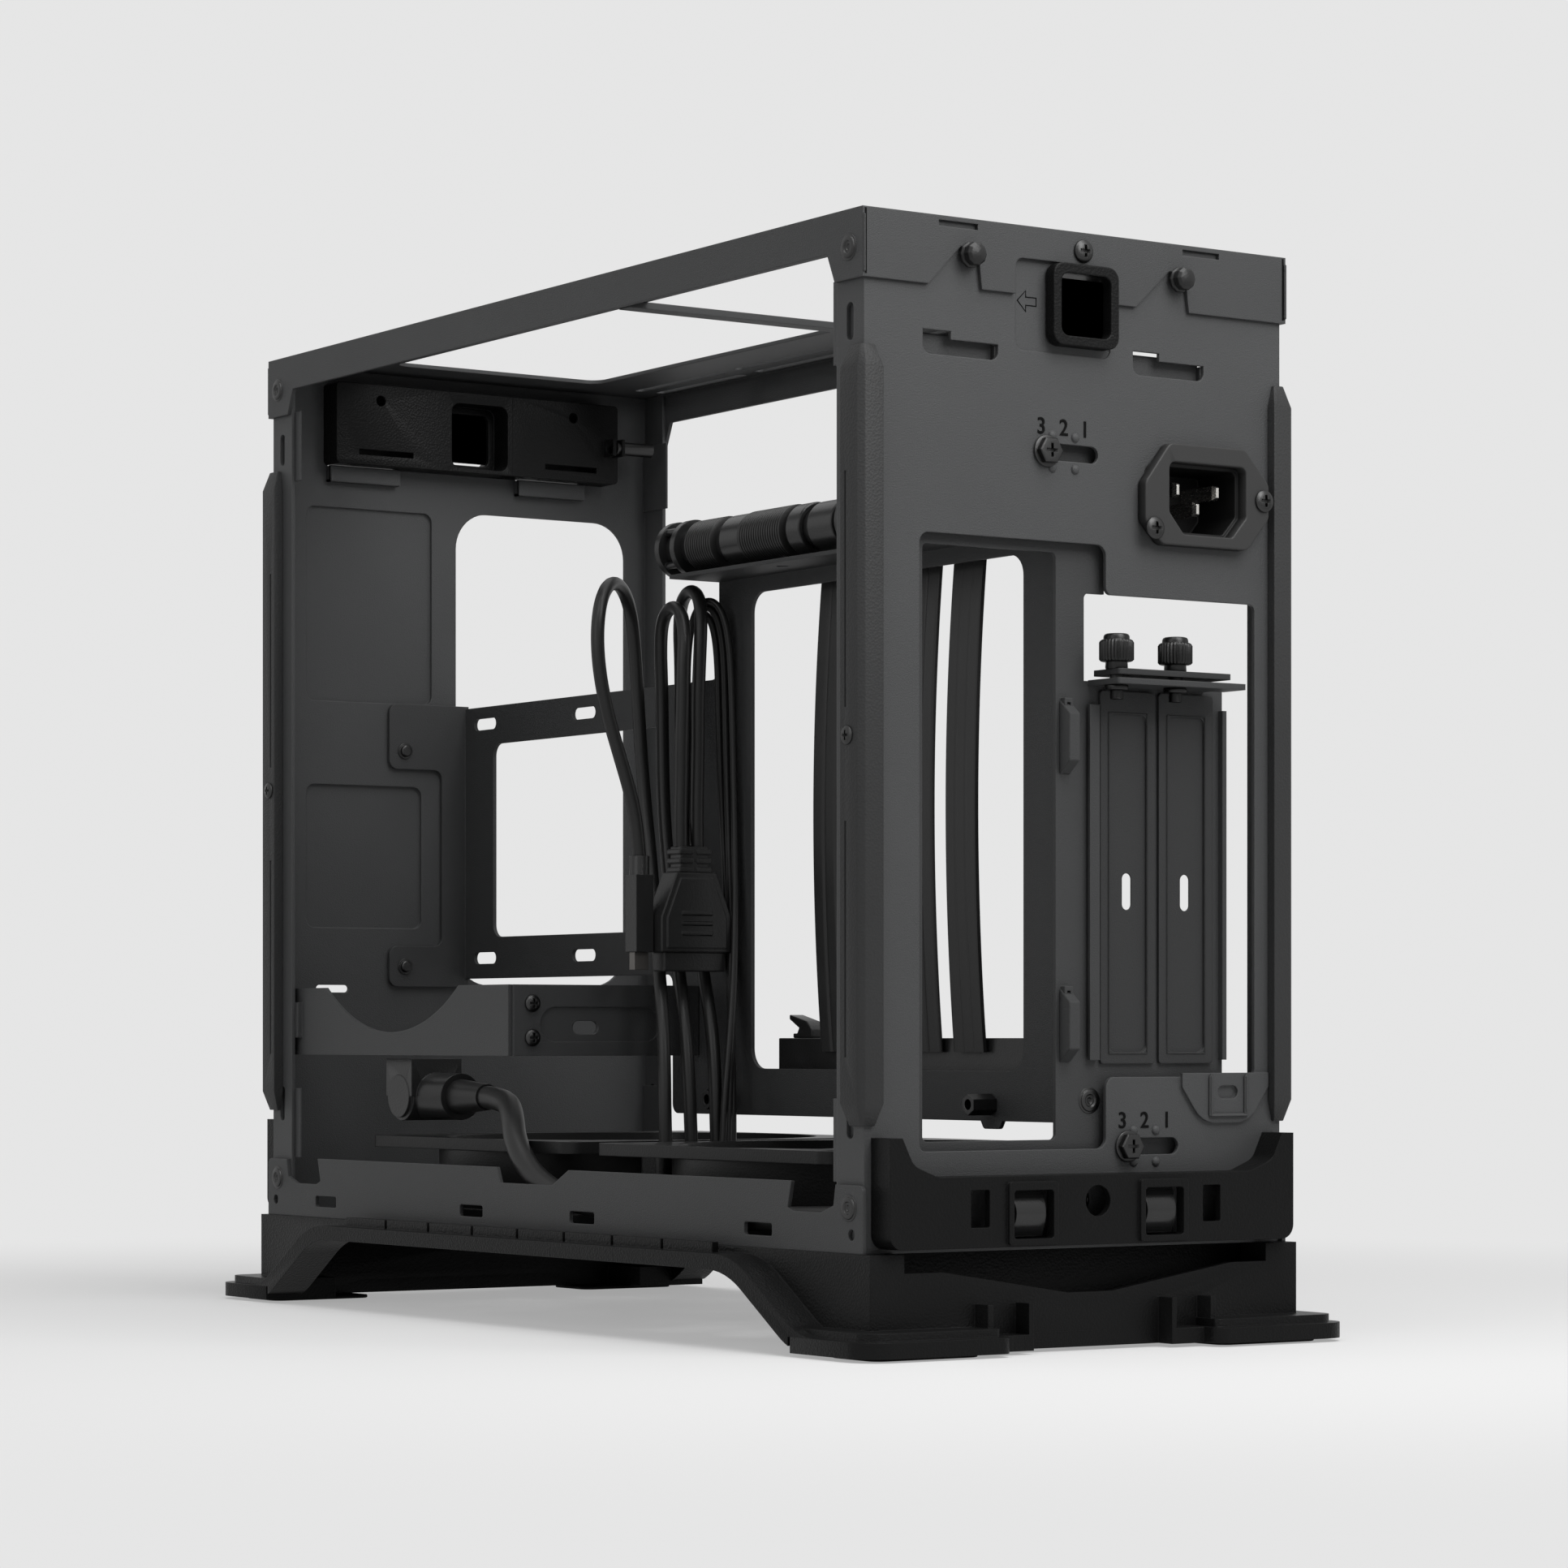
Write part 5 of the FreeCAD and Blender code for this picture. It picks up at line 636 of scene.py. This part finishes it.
def cross_headed(name, node, bodies, recesses, segments=36, instead=True):
    """Turned bodies with a cross recess in each head; bodies and recesses are argument lists."""
    work = bmesh.new()
    for profile, spot, along in bodies:
        turned(work, profile, spot, along, segments=segments)
    blank = bpy.data.objects.new(name + "_blank", mesh_from(work, name))
    punch_work = bmesh.new()
    for recess in recesses:
        cross_cutter(punch_work, *recess)
    punch = bpy.data.objects.new(name + "_punch", mesh_from(punch_work, name + "_punch"))
    for part in (blank, punch):
        bpy.context.scene.collection.objects.link(part)
    stamp = blank.modifiers.new("recess", "BOOLEAN")
    stamp.operation, stamp.solver, stamp.object = "DIFFERENCE", "EXACT", punch
    mesh = applied(blank)
    for part in (blank, punch):
        bpy.data.objects.remove(part)
    put(name, mesh, node, instead=instead)


def pan_head(radius, high):
    """The outline of a domed screw head, with a short shank below it."""
    return [(-0.8, radius * 0.5), (-0.05, radius * 0.5), (0.0, radius * 0.96), (high * 0.18, radius),
            (high * 0.45, radius * 0.98), (high * 0.72, radius * 0.86), (high * 0.9, radius * 0.66),
            (high, radius * 0.4)]


print("screw heads ready")

# %% Screws on the guards, the inlet, the collar and the bracket
REAR_FACE, COLLAR_FACE, GUARD_FACE, RIM_FACE = 165.3, 166.5, 74.0, 168.95
CORNERS = [(side, end) for side in (1, -1) for end in (1, -1)]
guard_spots = [((side * GUARD_FACE, end * 162.3, 163.3), (side, 0, 0)) for side, end in CORNERS]
inlet_spots = [((x, RIM_FACE, z), (0, 1, 0)) for x, z in ((-23.4, 223.0), (-62.0, 232.8))]
sets = {
    "guard_screws": (2.5, 0.9, guard_spots),
    "inlet_screws": (3.1, 1.3, inlet_spots),
    "top_screws": (3.1, 1.5, [((-0.6, end * COLLAR_FACE, 296.5), (0, end, 0)) for end in (1, -1)]),
    "psu_screws": (2.6, 1.5, [((60.5, -20.8, z), (0, 1, 0)) for z in (94.3, 84.1)]),
}
for node, (radius, high, spots) in sets.items():
    cross_headed(
        node + "_turned", node, [(pan_head(radius, high), spot, along) for spot, along in spots],
        [(spot, along, radius * 0.62, radius * 0.15, high + 0.3, high - 1.15) for spot, along in spots])
print("cross-headed sets:", ", ".join(sets))

# %% The two position screws
HEAD_SEAT = REAR_FACE + 0.9
lock_spots = [(11.0, 241.9), (-16.8, 54.5)]
hexagon = [(0.0, 3.75), (0.2, 3.81), (1.75, 3.81), (2.05, 3.5), (2.1, 3.1)]
flange = [(-7.6, 1.75), (0.25, 1.75), (0.3, 4.2), (0.55, 4.35), (0.8, 4.25), (1.0, 3.7)]
spacer = [(-3.5, 4.0), (-1.5, 4.0)]
work = bmesh.new()
for x, z in lock_spots:
    turned(work, flange, (x, REAR_FACE, z), (0, 1, 0))
    turned(work, spacer, (x, REAR_FACE, z), (0, 1, 0))
put("position_flanges", mesh_from(work, "position_flanges"), "position_screws", instead=False)
cross_headed("position_heads", "position_screws",
             [(hexagon, (x, HEAD_SEAT, z), (0, 1, 0)) for x, z in lock_spots],
             [((x, HEAD_SEAT, z), (0, 1, 0), 2.1, 0.45, 2.4, 0.9) for x, z in lock_spots], segments=6)
print("position screws at", lock_spots)

# %% [markdown]
# ## Rivets, studs and thumbscrews
#
# A semi-tubular rivet has a flat head with a ring and a small dimple. The push-in studs are nylon, and
# their waisted heads have ten flat sides for the fingers. The thumbscrews have a straight knurl and are
# blackened: thirty fine ribs, a chamfer at each end, a cap on top and a thread that shows below the clamp.

# %% Rivets and studs
rivet = [(-0.2, 3.6), (0.1, 3.6), (0.18, 3.4), (0.18, 3.0), (0.5, 2.9), (0.64, 2.6), (0.64, 1.8),
         (0.3, 1.5), (0.3, 0.9), (-0.1, 0.6)]
work = bmesh.new()
for side, end in CORNERS:
    for z in (291.6, 39.3):
        turned(work, rivet, (side * 72.0, end * 160.1, z), (side, 0, 0))
put("frame_rivets_turned", mesh_from(work, "frame_rivets_turned"), "frame_rivets")

pin = [(0.0, 2.6), (0.4, 2.6), (0.45, 1.9), (1.3, 1.8), (1.55, 1.5), (1.6, 0.9)]
work = bmesh.new()
turned(work, rivet, (-6.4, 161.8, 67.0), (0, 1, 0))
for z in (177.8, 107.4):
    turned(work, pin, (24.0, -162.6, z), (0, 1, 0))
put("spine_rivets_turned", mesh_from(work, "spine_rivets_turned"), "spine_rivets")

stud = [(-1.2, 1.4), (1.0, 1.4), (1.05, 3.45), (1.9, 3.5), (2.3, 3.0), (3.1, 2.95), (3.4, 3.2),
        (4.5, 3.1), (5.2, 2.4), (5.5, 1.2)]
work = bmesh.new()
for end in (1, -1):
    for x in (37.2, -33.9):
        turned(work, stud, (x, end * REAR_FACE, 291.9), (0, end, 0), segments=10)
put("snap_studs_turned", mesh_from(work, "snap_studs_turned"), "snap_studs", stud_nylon, crease=24.0)
print("8 frame rivets, 3 spine rivets, 4 studs")

# %% Knurled thumbscrews
shank = [(175.6, 1.2)]
for turn in range(9):
    shank += [(175.8 + turn * 0.26, 1.9), (175.93 + turn * 0.26, 1.6)]
shank += [(178.1, 1.7), (178.15, 3.1), (178.5, 3.3), (179.2, 3.3), (179.6, 3.1), (179.6, 1.9), (183.8, 1.9),
          (183.8, 2.9), (184.2, 3.1), (185.8, 3.0)]
knob = [(185.8, 3.8, 0.0), (185.95, 4.3, 0.12), (186.4, 4.75, 0.4), (191.0, 4.75, 0.4), (191.5, 4.45, 0.25),
        (191.8, 4.0, 0.0), (191.8, 3.6, 0.0), (192.7, 3.55, 0.0), (193.2, 3.25, 0.0), (193.4, 2.8, 0.0),
        (193.3, 2.3, 0.0)]
work = bmesh.new()
for x in (-9.44, -29.76):
    turned(work, shank, (x, 170.0, 0.0), (0, 0, 1))
    turned(work, knob, (x, 170.0, 0.0), (0, 0, 1), ribs=30)
put("thumbscrews_turned", mesh_from(work, "thumbscrews_turned"), "thumbscrews")
print("two knurled thumbscrews")

# %% [markdown]
# ## Pressed pockets and marks on the two faces
#
# The outer shell hooks into slots in the rear and front faces. Behind each slot the sheet is pressed into a
# shallow pocket that keeps fingers and light out. Beside the two adjusting slots stand small domes and the
# plain digits of the three positions, and a line drawn beside the port makes an arrow. The digits are
# Blender's own text objects turned into meshes, and stand a fifth of a millimetre proud of the sheet.

# %% Pockets behind the hook slots
def solid_block(work, x, y, z):
    """A rectangular block between low and high sides in millimetres."""
    corners = [work.verts.new(Vector((a, b, c)) * MM) for a in x for b in y for c in z]
    for face in ((0, 1, 3, 2), (4, 6, 7, 5), (0, 4, 5, 1), (2, 3, 7, 6), (0, 2, 6, 4), (1, 5, 7, 3)):
        work.faces.new([corners[i] for i in face])


def rounded_edges(work, name, width, segments=2):
    """Round the edges of a mesh under construction by a width in millimetres."""
    bmesh.ops.recalc_face_normals(work, faces=work.faces)
    bmesh.ops.bevel(work, geom=list(work.edges), offset=width * MM, segments=segments,
                    affect="EDGES", clamp_overlap=True)
    return mesh_from(work, name)


for node, end in (("rear_panel", 1), ("front_panel", -1)):
    work = bmesh.new()
    for middle in (39.4, -31.2):
        inner = sorted((end * 160.9, end * 162.1))
        reach = sorted((end * 161.0, end * 164.2))
        solid_block(work, (middle - 12.9, middle + 12.9), inner, (264.0, 270.9 if end > 0 else 269.2))
        solid_block(work, (middle - 12.9, middle + 12.9), reach, (264.0, 264.9))
        for edge in (middle - 12.9, middle + 12.1):
            solid_block(work, (edge, edge + 0.8), reach, (264.0, 269.2))
    put(f"{node}_pockets", rounded_edges(work, f"{node}_pockets", 0.2), node, instead=False)

work = bmesh.new()
solid_block(work, (-9.5, 30.0), (160.65, 161.75), (236.5, 247.5))
put("position_backing", rounded_edges(work, "position_backing", 0.3), "io_plate", instead=False)
print("four pockets and the plate behind the position slot")

# %% Domes and digits
dome = [(-0.15, 1.35), (0.05, 1.35), (0.4, 1.2), (0.65, 0.9), (0.8, 0.45), (0.84, 0.15)]
work = bmesh.new()
for x, z in ((8.8, 241.9), (1.1, 241.9), (-19.0, 54.5), (-26.7, 54.5)):
    for side in (1, -1):
        turned(work, dome, (x, REAR_FACE, z + side * 4.3), (0, 1, 0), segments=24)
put("position_domes", mesh_from(work, "position_domes"), "rear_panel", instead=False)

FACE_OUT = Matrix(((-1, 0, 0), (0, 0, 1), (0, 1, 0)))
SIZE_PER_HEIGHT, DIGIT_DEEP, DIGIT_BOLD = 1.38, 0.00012, 0.00006


def mark(text, x, z, high, name):
    """A character that reads from behind the case."""
    letter = bpy.data.curves.new(name, "FONT")
    letter.body, letter.size, letter.extrude = text, high * MM * SIZE_PER_HEIGHT, DIGIT_DEEP
    letter.align_x, letter.align_y, letter.offset = "CENTER", "CENTER", DIGIT_BOLD
    shape = bpy.data.objects.new(name, letter)
    bpy.context.scene.collection.objects.link(shape)
    mesh = applied(shape)
    bpy.data.objects.remove(shape)
    mesh.transform(Matrix.Translation(Vector((x, REAR_FACE + 0.08, z)) * MM) @ FACE_OUT.to_4x4())
    put(name, mesh, "rear_panel", mark_and_seam_shadow_black, instead=False)


DIGIT_ROWS = (("upper", 248.4, (12.6, 5.0, -2.2)), ("lower", 61.4, (-15.1, -22.8, -30.5)))
for row, z, places in DIGIT_ROWS:
    for digit, x in zip("321", places):
        mark(digit, x, z, 4.5, f"position_{row}_{digit}")
print("8 domes and 6 digits")

# %% The arrow beside the port
PORT_FIELD = REAR_FACE - 0.45
ARROW = [(20.3, 281.7), (17.5, 284.5), (17.5, 282.8), (14.0, 282.8), (14.0, 280.6), (17.5, 280.6),
         (17.5, 278.9)]
line = bpy.data.curves.new("slide_arrow", "CURVE")
line.dimensions, line.bevel_depth, line.bevel_resolution = "3D", 0.0002, 2
stroke = line.splines.new("POLY")
stroke.points.add(len(ARROW) - 1)
for point, (x, z) in zip(stroke.points, ARROW):
    point.co = (x * MM, PORT_FIELD * MM, z * MM, 1.0)
stroke.use_cyclic_u = True
shape = bpy.data.objects.new("slide_arrow_line", line)
bpy.context.scene.collection.objects.link(shape)
arrow_mesh = applied(shape)
bpy.data.objects.remove(shape)
put("slide_arrow", arrow_mesh, "rear_panel", mark_and_seam_shadow_black, instead=False)
print("an arrow of", len(ARROW), "corners")

# %% [markdown]
# ## Louvres and the beads of the slot covers
#
# Louvres are strips of the sheet pushed out between two cuts, with a slope at each end, so one outline
# carried sideways makes each of them. A blank slot cover is thin, and a pressed bead round its field
# keeps it flat. The bead is so low that four slim blocks with rounded edges do for each cover.

# %% Louvres
def prism(work, outline, low, high, along="x"):
    """Carry an outline in millimetres along X, or one of (x, z) along Y."""
    ends = []
    for level in (low, high):
        spots = [(level, a, z) if along == "x" else (a, level, z) for a, z in outline]
        ends.append([work.verts.new(Vector(spot) * MM) for spot in spots])
    skin_over(work, ends)


work = bmesh.new()
for low in (77.4, 155.4):
    prism(work, [(161.9, low), (166.4, low + 3.6), (166.4, low + 16.4), (161.9, low + 20.0)], 0.2, 3.8)
put("lance_louvres", rounded_edges(work, "lance_louvres", 0.15), "io_plate", instead=False)
print("two louvres")

# %% Beads round the fields of the slot covers
BEAD_WIDE, BEAD_DEPTH = 0.4, (162.6, 163.1)
work = bmesh.new()
for middle in (-19.04, -39.36):
    for edge in (-6.85, 6.45):
        solid_block(work, (middle + edge, middle + edge + BEAD_WIDE), BEAD_DEPTH, (80.0, 172.6))
    for z in (79.6, 172.4):
        solid_block(work, (middle - 6.85, middle + 6.85), BEAD_DEPTH, (z, z + BEAD_WIDE))
put("cover_beads", rounded_edges(work, "cover_beads", 0.15), "slot_clamp", cover_coat, instead=False)
print("two beaded covers")

# %% [markdown]
# ## Spring tongues
#
# The shell snaps over two bent tongues in the trim's windows. Each is a broad strip that bows outwards
# and narrows at its waist, so a flat cross-section is carried up along half a sine wave.

# %% Spring tongues of the trim
TONGUE_LOW, TONGUE_HIGH, TONGUE_ROWS = 31.3, 43.4, 14
work = bmesh.new()
for middle in (22.2, -22.2):
    rows = []
    for i in range(TONGUE_ROWS + 1):
        share = i / TONGUE_ROWS
        swell = math.sin(math.pi * share)
        z = TONGUE_LOW + (TONGUE_HIGH - TONGUE_LOW) * share
        y, half = 171.0 + 2.7 * swell, 5.7 - 0.8 * swell
        corners = ((-half, y), (half, y), (half, y - 0.9), (-half, y - 0.9))
        rows.append([work.verts.new(Vector((middle + across, out, z)) * MM) for across, out in corners])
    skin_over(work, rows)
    for z in ((TONGUE_LOW - 0.2, TONGUE_LOW + 0.7), (TONGUE_HIGH - 0.7, TONGUE_HIGH + 0.2)):
        solid_block(work, (middle - 5.7, middle + 5.7), (165.4, 171.0), z)
put("clip_tongues", mesh_from(work, "clip_tongues"), "clip_springs", tongue_steel)
print("two spring tongues")

# %% [markdown]
# ## A rim, four seams and one more screw
#
# The pull tab has a raised rim for the finger. At each corner of the collar one fold of the sheet meets
# the next, which shows as a low lip with a near-black strip beside it, a painted shadow in the seam. The
# screw sits on the rear face, in the middle above the trim.

# %% Rim of the pull tab, seams of the collar's corners and the middle screw
TAB_DEPTH = (166.2, 167.2)
work = bmesh.new()
for x, z in (((-45.8, -44.5), (62.4, 74.0)), ((-58.3, -57.0), (62.4, 74.0)), ((-58.3, -44.5), (62.0, 63.3))):
    solid_block(work, x, TAB_DEPTH, z)
put("pull_tab_rim", rounded_edges(work, "pull_tab_rim", 0.45, 3), "rear_panel", instead=False)

# The second mesh is painted shadow: near-black strips in the seams beside the lips.
lips, seam_shadows = bmesh.new(), bmesh.new()
for side, end in CORNERS:
    solid_block(lips, sorted((side * 71.35, side * 71.98)), sorted((end * 166.4, end * 167.1)),
                (284.4, 299.6))
    solid_block(seam_shadows, sorted((side * 70.7, side * 71.35)), sorted((end * 166.4, end * 166.53)),
                (284.0, 301.2))
put("collar_lips", rounded_edges(lips, "collar_lips", 0.15), "top_frame", instead=False)
put("collar_seam_shadows", mesh_from(seam_shadows, "collar_seam_shadows"), "top_frame", mark_and_seam_shadow_black, instead=False)

spot, along = (0.0, REAR_FACE, 40.3), (0, 1, 0)
cross_headed("trim_screw", "guard_screws", [(pan_head(3.2, 1.9), spot, along)],
             [(spot, along, 2.0, 0.48, 2.2, 0.75)], instead=False)
print("pull tab rim, four corner seams and a screw")

# %% [markdown]
# ## Blades of the inlet
#
# The blades of a mains inlet have chamfered tips, so that the socket slides on. Three cross-sections are
# enough for each: two of full size, and a small one at the tip.

# %% Blades with chamfered tips
BLADE_SECTIONS = ((149.4, 1.0, 2.0), (162.9, 1.0, 2.0), (164.3, 0.42, 1.35))
work = bmesh.new()
for x, z in ((-49.4, 234.8), (-35.4, 234.8), (-42.4, 229.8)):
    rings = []
    for y, half_x, half_z in BLADE_SECTIONS:
        corners = ((-half_x, -half_z), (half_x, -half_z), (half_x, half_z), (-half_x, half_z))
        rings.append([work.verts.new(Vector((x + u, y, z + v)) * MM) for u, v in corners])
    skin_over(work, rings)
put("inlet_blades", mesh_from(work, "inlet_blades"), "inlet_pins", crease=20.0)
print("three blades")

# %% [markdown]
# ## The wide connector
#
# A moulded connector is a stack of plain shapes: a housing with sloped shoulders and a raised face on
# each side, three grip ridges, a mouth below and a ribbed neck round the cables. Prisms and blocks that
# run into one another look like one moulding once their edges are rounded.

# %% The wide connector of the front cables
CONNECTOR_X = 18.35


def connector_block(half_wide, half_deep, low, high):
    """A block in the middle of the connector."""
    solid_block(work, (CONNECTOR_X - half_wide, CONNECTOR_X + half_wide), (-half_deep, half_deep),
                (low, high))


housing = [(-12.4, 109.5), (12.4, 109.5), (12.4, 119.8), (7.0, 133.2), (-7.0, 133.2), (-12.4, 119.8)]
face = [(-10.6, 110.6), (10.6, 110.6), (10.6, 119.6), (5.8, 131.6), (-5.8, 131.6), (-10.6, 119.6)]
work = bmesh.new()
for outline, deep in ((housing, 4.1), (face, 4.4)):
    prism(work, [(CONNECTOR_X + x, z) for x, z in outline], -deep, deep, along="y")
connector_block(10.9, 3.1, 103.8, 109.6)
connector_block(4.9, 3.0, 133.0, 141.0)
for z in (133.2, 135.9, 138.6):
    for low, high in ((-5.7, -0.6), (0.6, 5.7)):
        solid_block(work, (CONNECTOR_X + low, CONNECTOR_X + high), (-3.7, 3.7), (z, z + 1.6))
for z in (114.4, 117.4, 120.4):
    connector_block(5.6, 4.65, z, z + 1.3)
shaped = rounded_edges(work, "connector_wide_shaped", 0.25)
put("connector_wide_shaped", shaped, "connector_wide", crease=24.0)
print("one shaped connector")

# %% [markdown]
# ## Plates behind the slots of the posts
#
# The frame's inner fold lies close behind the posts' small slots, so they look dark instead of open.

# %% Plates behind the posts' slots
work = bmesh.new()
for side, end in CORNERS:
    x = sorted((side * 69.55, side * 68.95))
    y = sorted((end * 149.5, end * 164.0))
    for z in ((262.0, 284.0), (46.0, 68.0)):
        solid_block(work, x, y, z)
put("post_backings", mesh_from(work, "post_backings"), "rear_panel", instead=False)
print("eight plates")

# %% [markdown]
# ## The riser ribbon
#
# The flat cable of the graphics card has ten broad ribs with narrow grooves between them, and a narrow
# strip with three flat ribs runs beside it. It leaves the shelf, bows out a little and goes down into the
# card's socket. Each strip is one cross-section carried along a shallow bow. The grooves could be only a
# bump, but the outline of the ribs shows against the light, so they are real.

# %% Ribbed strips on a shallow bow
RIBBON_LOW, RIBBON_HIGH, RIBBON_FACE, RIBBON_BOW = 80.0, 218.6, -5.0, 3.0
RIBBON_ROWS, CUTS_PER_RIB, RIB_SQUARENESS = 36, 12, 3.2


def ribbon_strip(work, start, wide, thick, ribs, depth):
    """One strip; its width runs along Y and its face looks along X."""
    across = ribs * CUTS_PER_RIB
    turns = [math.pi * ribs * j / across for j in range(across + 1)]
    crowns = [depth * min(1.0, RIB_SQUARENESS * abs(math.sin(turn))) for turn in turns]
    there = [(depth - crown, start + wide * j / across) for j, crown in enumerate(crowns)]
    rows = []
    for i in range(RIBBON_ROWS + 1):
        share = i / RIBBON_ROWS
        z = RIBBON_LOW + (RIBBON_HIGH - RIBBON_LOW) * share
        bow = RIBBON_FACE + RIBBON_BOW * (1 - (2 * share - 1) ** 2)
        loop = [(bow - dip, y) for dip, y in there] + [(bow - thick + dip, y) for dip, y in reversed(there)]
        rows.append([work.verts.new(Vector((x, y, z)) * MM) for x, y in loop])
    skin_over(work, rows)


work = bmesh.new()
ribbon_strip(work, 35.0, 60.0, 1.5, 10, 0.45)
ribbon_strip(work, 101.5, 14.0, 1.4, 3, 0.12)
put("riser_ribbon_ribbed", mesh_from(work, "riser_ribbon_ribbed"), "riser_ribbon", crease=60.0)
print("two ribbon strips, 10 and 3 ribs")

# %% [markdown]
# ## The ribbed tube and the filter's mesh
#
# The round tube on the spine's shelf is wrapped in two soft sleeves with fine rings moulded round them.
# The filter below the fans is a plastic grid with nylon gauze over it: wires too fine to see one by one,
# but they turn the openings grey and glitter in low light, so they are drawn as thin crossing strips.

# %% Sleeves with moulded rings
TUBE_X, TUBE_Z, TUBE_FRONT = 10.2, 231.3, -19.0
ROOT, WAIST, CREST, RING_PITCH = 6.2, 7.35, 7.85, 1.25
work = bmesh.new()
for low, high in ((15.4, 29.8), (44.4, 66.4)):
    count = round((high - low) / RING_PITCH)
    pitch = (high - low) / count
    outline = [(low, ROOT)]
    for i in range(count):
        start = low + i * pitch
        outline += [(start + 0.08, WAIST), (start + 0.22, CREST), (start + pitch - 0.3, CREST),
                    (start + pitch - 0.12, WAIST)]
    outline.append((high, ROOT))
    turned(work, outline, (TUBE_X, TUBE_FRONT, TUBE_Z), (0, 1, 0), segments=56)
put("tube_sleeves_ringed", mesh_from(work, "tube_sleeves_ringed"), "tube_sleeves", ribbon_jacket)
print("two ringed sleeves")

# %% Gauze in the dust filter
GAUZE_HALF, GAUZE_FRONT, GAUZE_REAR, GAUZE_PITCH, HALF_WIRE = 54.0, -165.0, 150.0, 2.0, 0.13
work = bmesh.new()
for i in range(int(2 * GAUZE_HALF / GAUZE_PITCH) + 1):
    x = -GAUZE_HALF + GAUZE_PITCH * i
    solid_block(work, (x - HALF_WIRE, x + HALF_WIRE), (GAUZE_FRONT, GAUZE_REAR), (25.30, 25.42))
for i in range(int((GAUZE_REAR - GAUZE_FRONT) / GAUZE_PITCH) + 1):
    y = GAUZE_FRONT + GAUZE_PITCH * i
    solid_block(work, (-GAUZE_HALF, GAUZE_HALF), (y - HALF_WIRE, y + HALF_WIRE), (25.42, 25.54))
put("filter_gauze", mesh_from(work, "filter_gauze"), "dust_filter", instead=False)
print(f"gauze strips {GAUZE_PITCH:.0f} mm apart")

# %% [markdown]
# ## The studio
#
# The case stands on a pale floor that runs out of sight into a pale background, under broad soft lamps.
# The camera, mirrors and glass see a plain light background through the Light Path node, so the lamps need
# not be strong enough to make it, and the case keeps its own tones. Near the case about half of the floor
# is paper that takes the shadow, and further off it fades into that same pale tone.

# %% The floor
PALE = (0.79, 0.79, 0.79, 1.0)
MIRRORED_SHARE = 0.5

floor_mesh = bpy.data.meshes.new("studio_floor")
floor_mesh.from_pydata([(-9, -9, 0), (9, -9, 0), (9, 9, 0), (-9, 9, 0)], [], [(0, 1, 2, 3)])
studio_floor = bpy.data.objects.new("studio_floor", floor_mesh)
bpy.context.scene.collection.objects.link(studio_floor)
paper = Finish("studio_paper").set(Base_Color=(0.82, 0.82, 0.82, 1.0), Roughness=0.9)
away = paper.node("VectorMath", {"operation": "LENGTH"}, {0: paper.place()}, output="Value")
fade = paper.node("MapRange", {"interpolation_type": "SMOOTHSTEP"},
                  {0: away, 1: 0.2, 2: 0.62, 3: 0.45, 4: 1.0})
seen = paper.node("LightPath", output="Is Camera Ray")
mirrored = paper.node("LightPath", output="Is Glossy Ray")
glow = paper.node("Emission", {}, {0: PALE, 1: 1.0})
ground = paper.node("MixShader", {}, {0: seen * fade, 1: paper.own(), 2: glow})
paper.show(paper.node("MixShader", {}, {0: mirrored * MIRRORED_SHARE, 1: ground, 2: glow}))
floor_mesh.materials.append(paper.owner)
print("pale floor")

# %% The background
ROOM_LIGHT = 0.18
room = Finish("studio", bpy.data.worlds.new("studio")).set(Color=(1.0, 1.0, 1.0, 1.0), Strength=ROOM_LIGHT)
bpy.context.scene.world = room.owner
seen, mirrored, through = (room.node("LightPath", output=f"Is {kind} Ray")
                           for kind in ("Camera", "Glossy", "Transmission"))
backdrop = room.node("Background", {}, {0: PALE, 1: 1.0})
room.show(room.node("MixShader", {}, {0: seen | mirrored | through, 1: room.own(), 2: backdrop}))
print("pale background")


# %% Soft lamps
def soft_lamp(name, spot, target, size, watts):
    """A square lamp that faces a point."""
    lamp = bpy.data.lights.new(name, "AREA")
    lamp.shape, lamp.size, lamp.energy = "SQUARE", size, watts
    holder = bpy.data.objects.new(name, lamp)
    bpy.context.scene.collection.objects.link(holder)
    holder.location = spot
    holder.rotation_euler = (Vector(target) - Vector(spot)).to_track_quat("-Z", "Y").to_euler()


soft_lamp("lamp_above", (0.1, 0.3, 1.1), (0, 0.05, 0.25), 0.8, 7.5)
soft_lamp("lamp_rear", (-0.08, 0.60, 0.60), (0, 0.165, 0.30), 0.4, 2.9)
soft_lamp("lamp_side", (1.2, 0.3, 0.75), (0, 0, 0.24), 0.7, 2.0)
bpy.context.scene.view_settings.view_transform = "Standard"
print("studio lit")
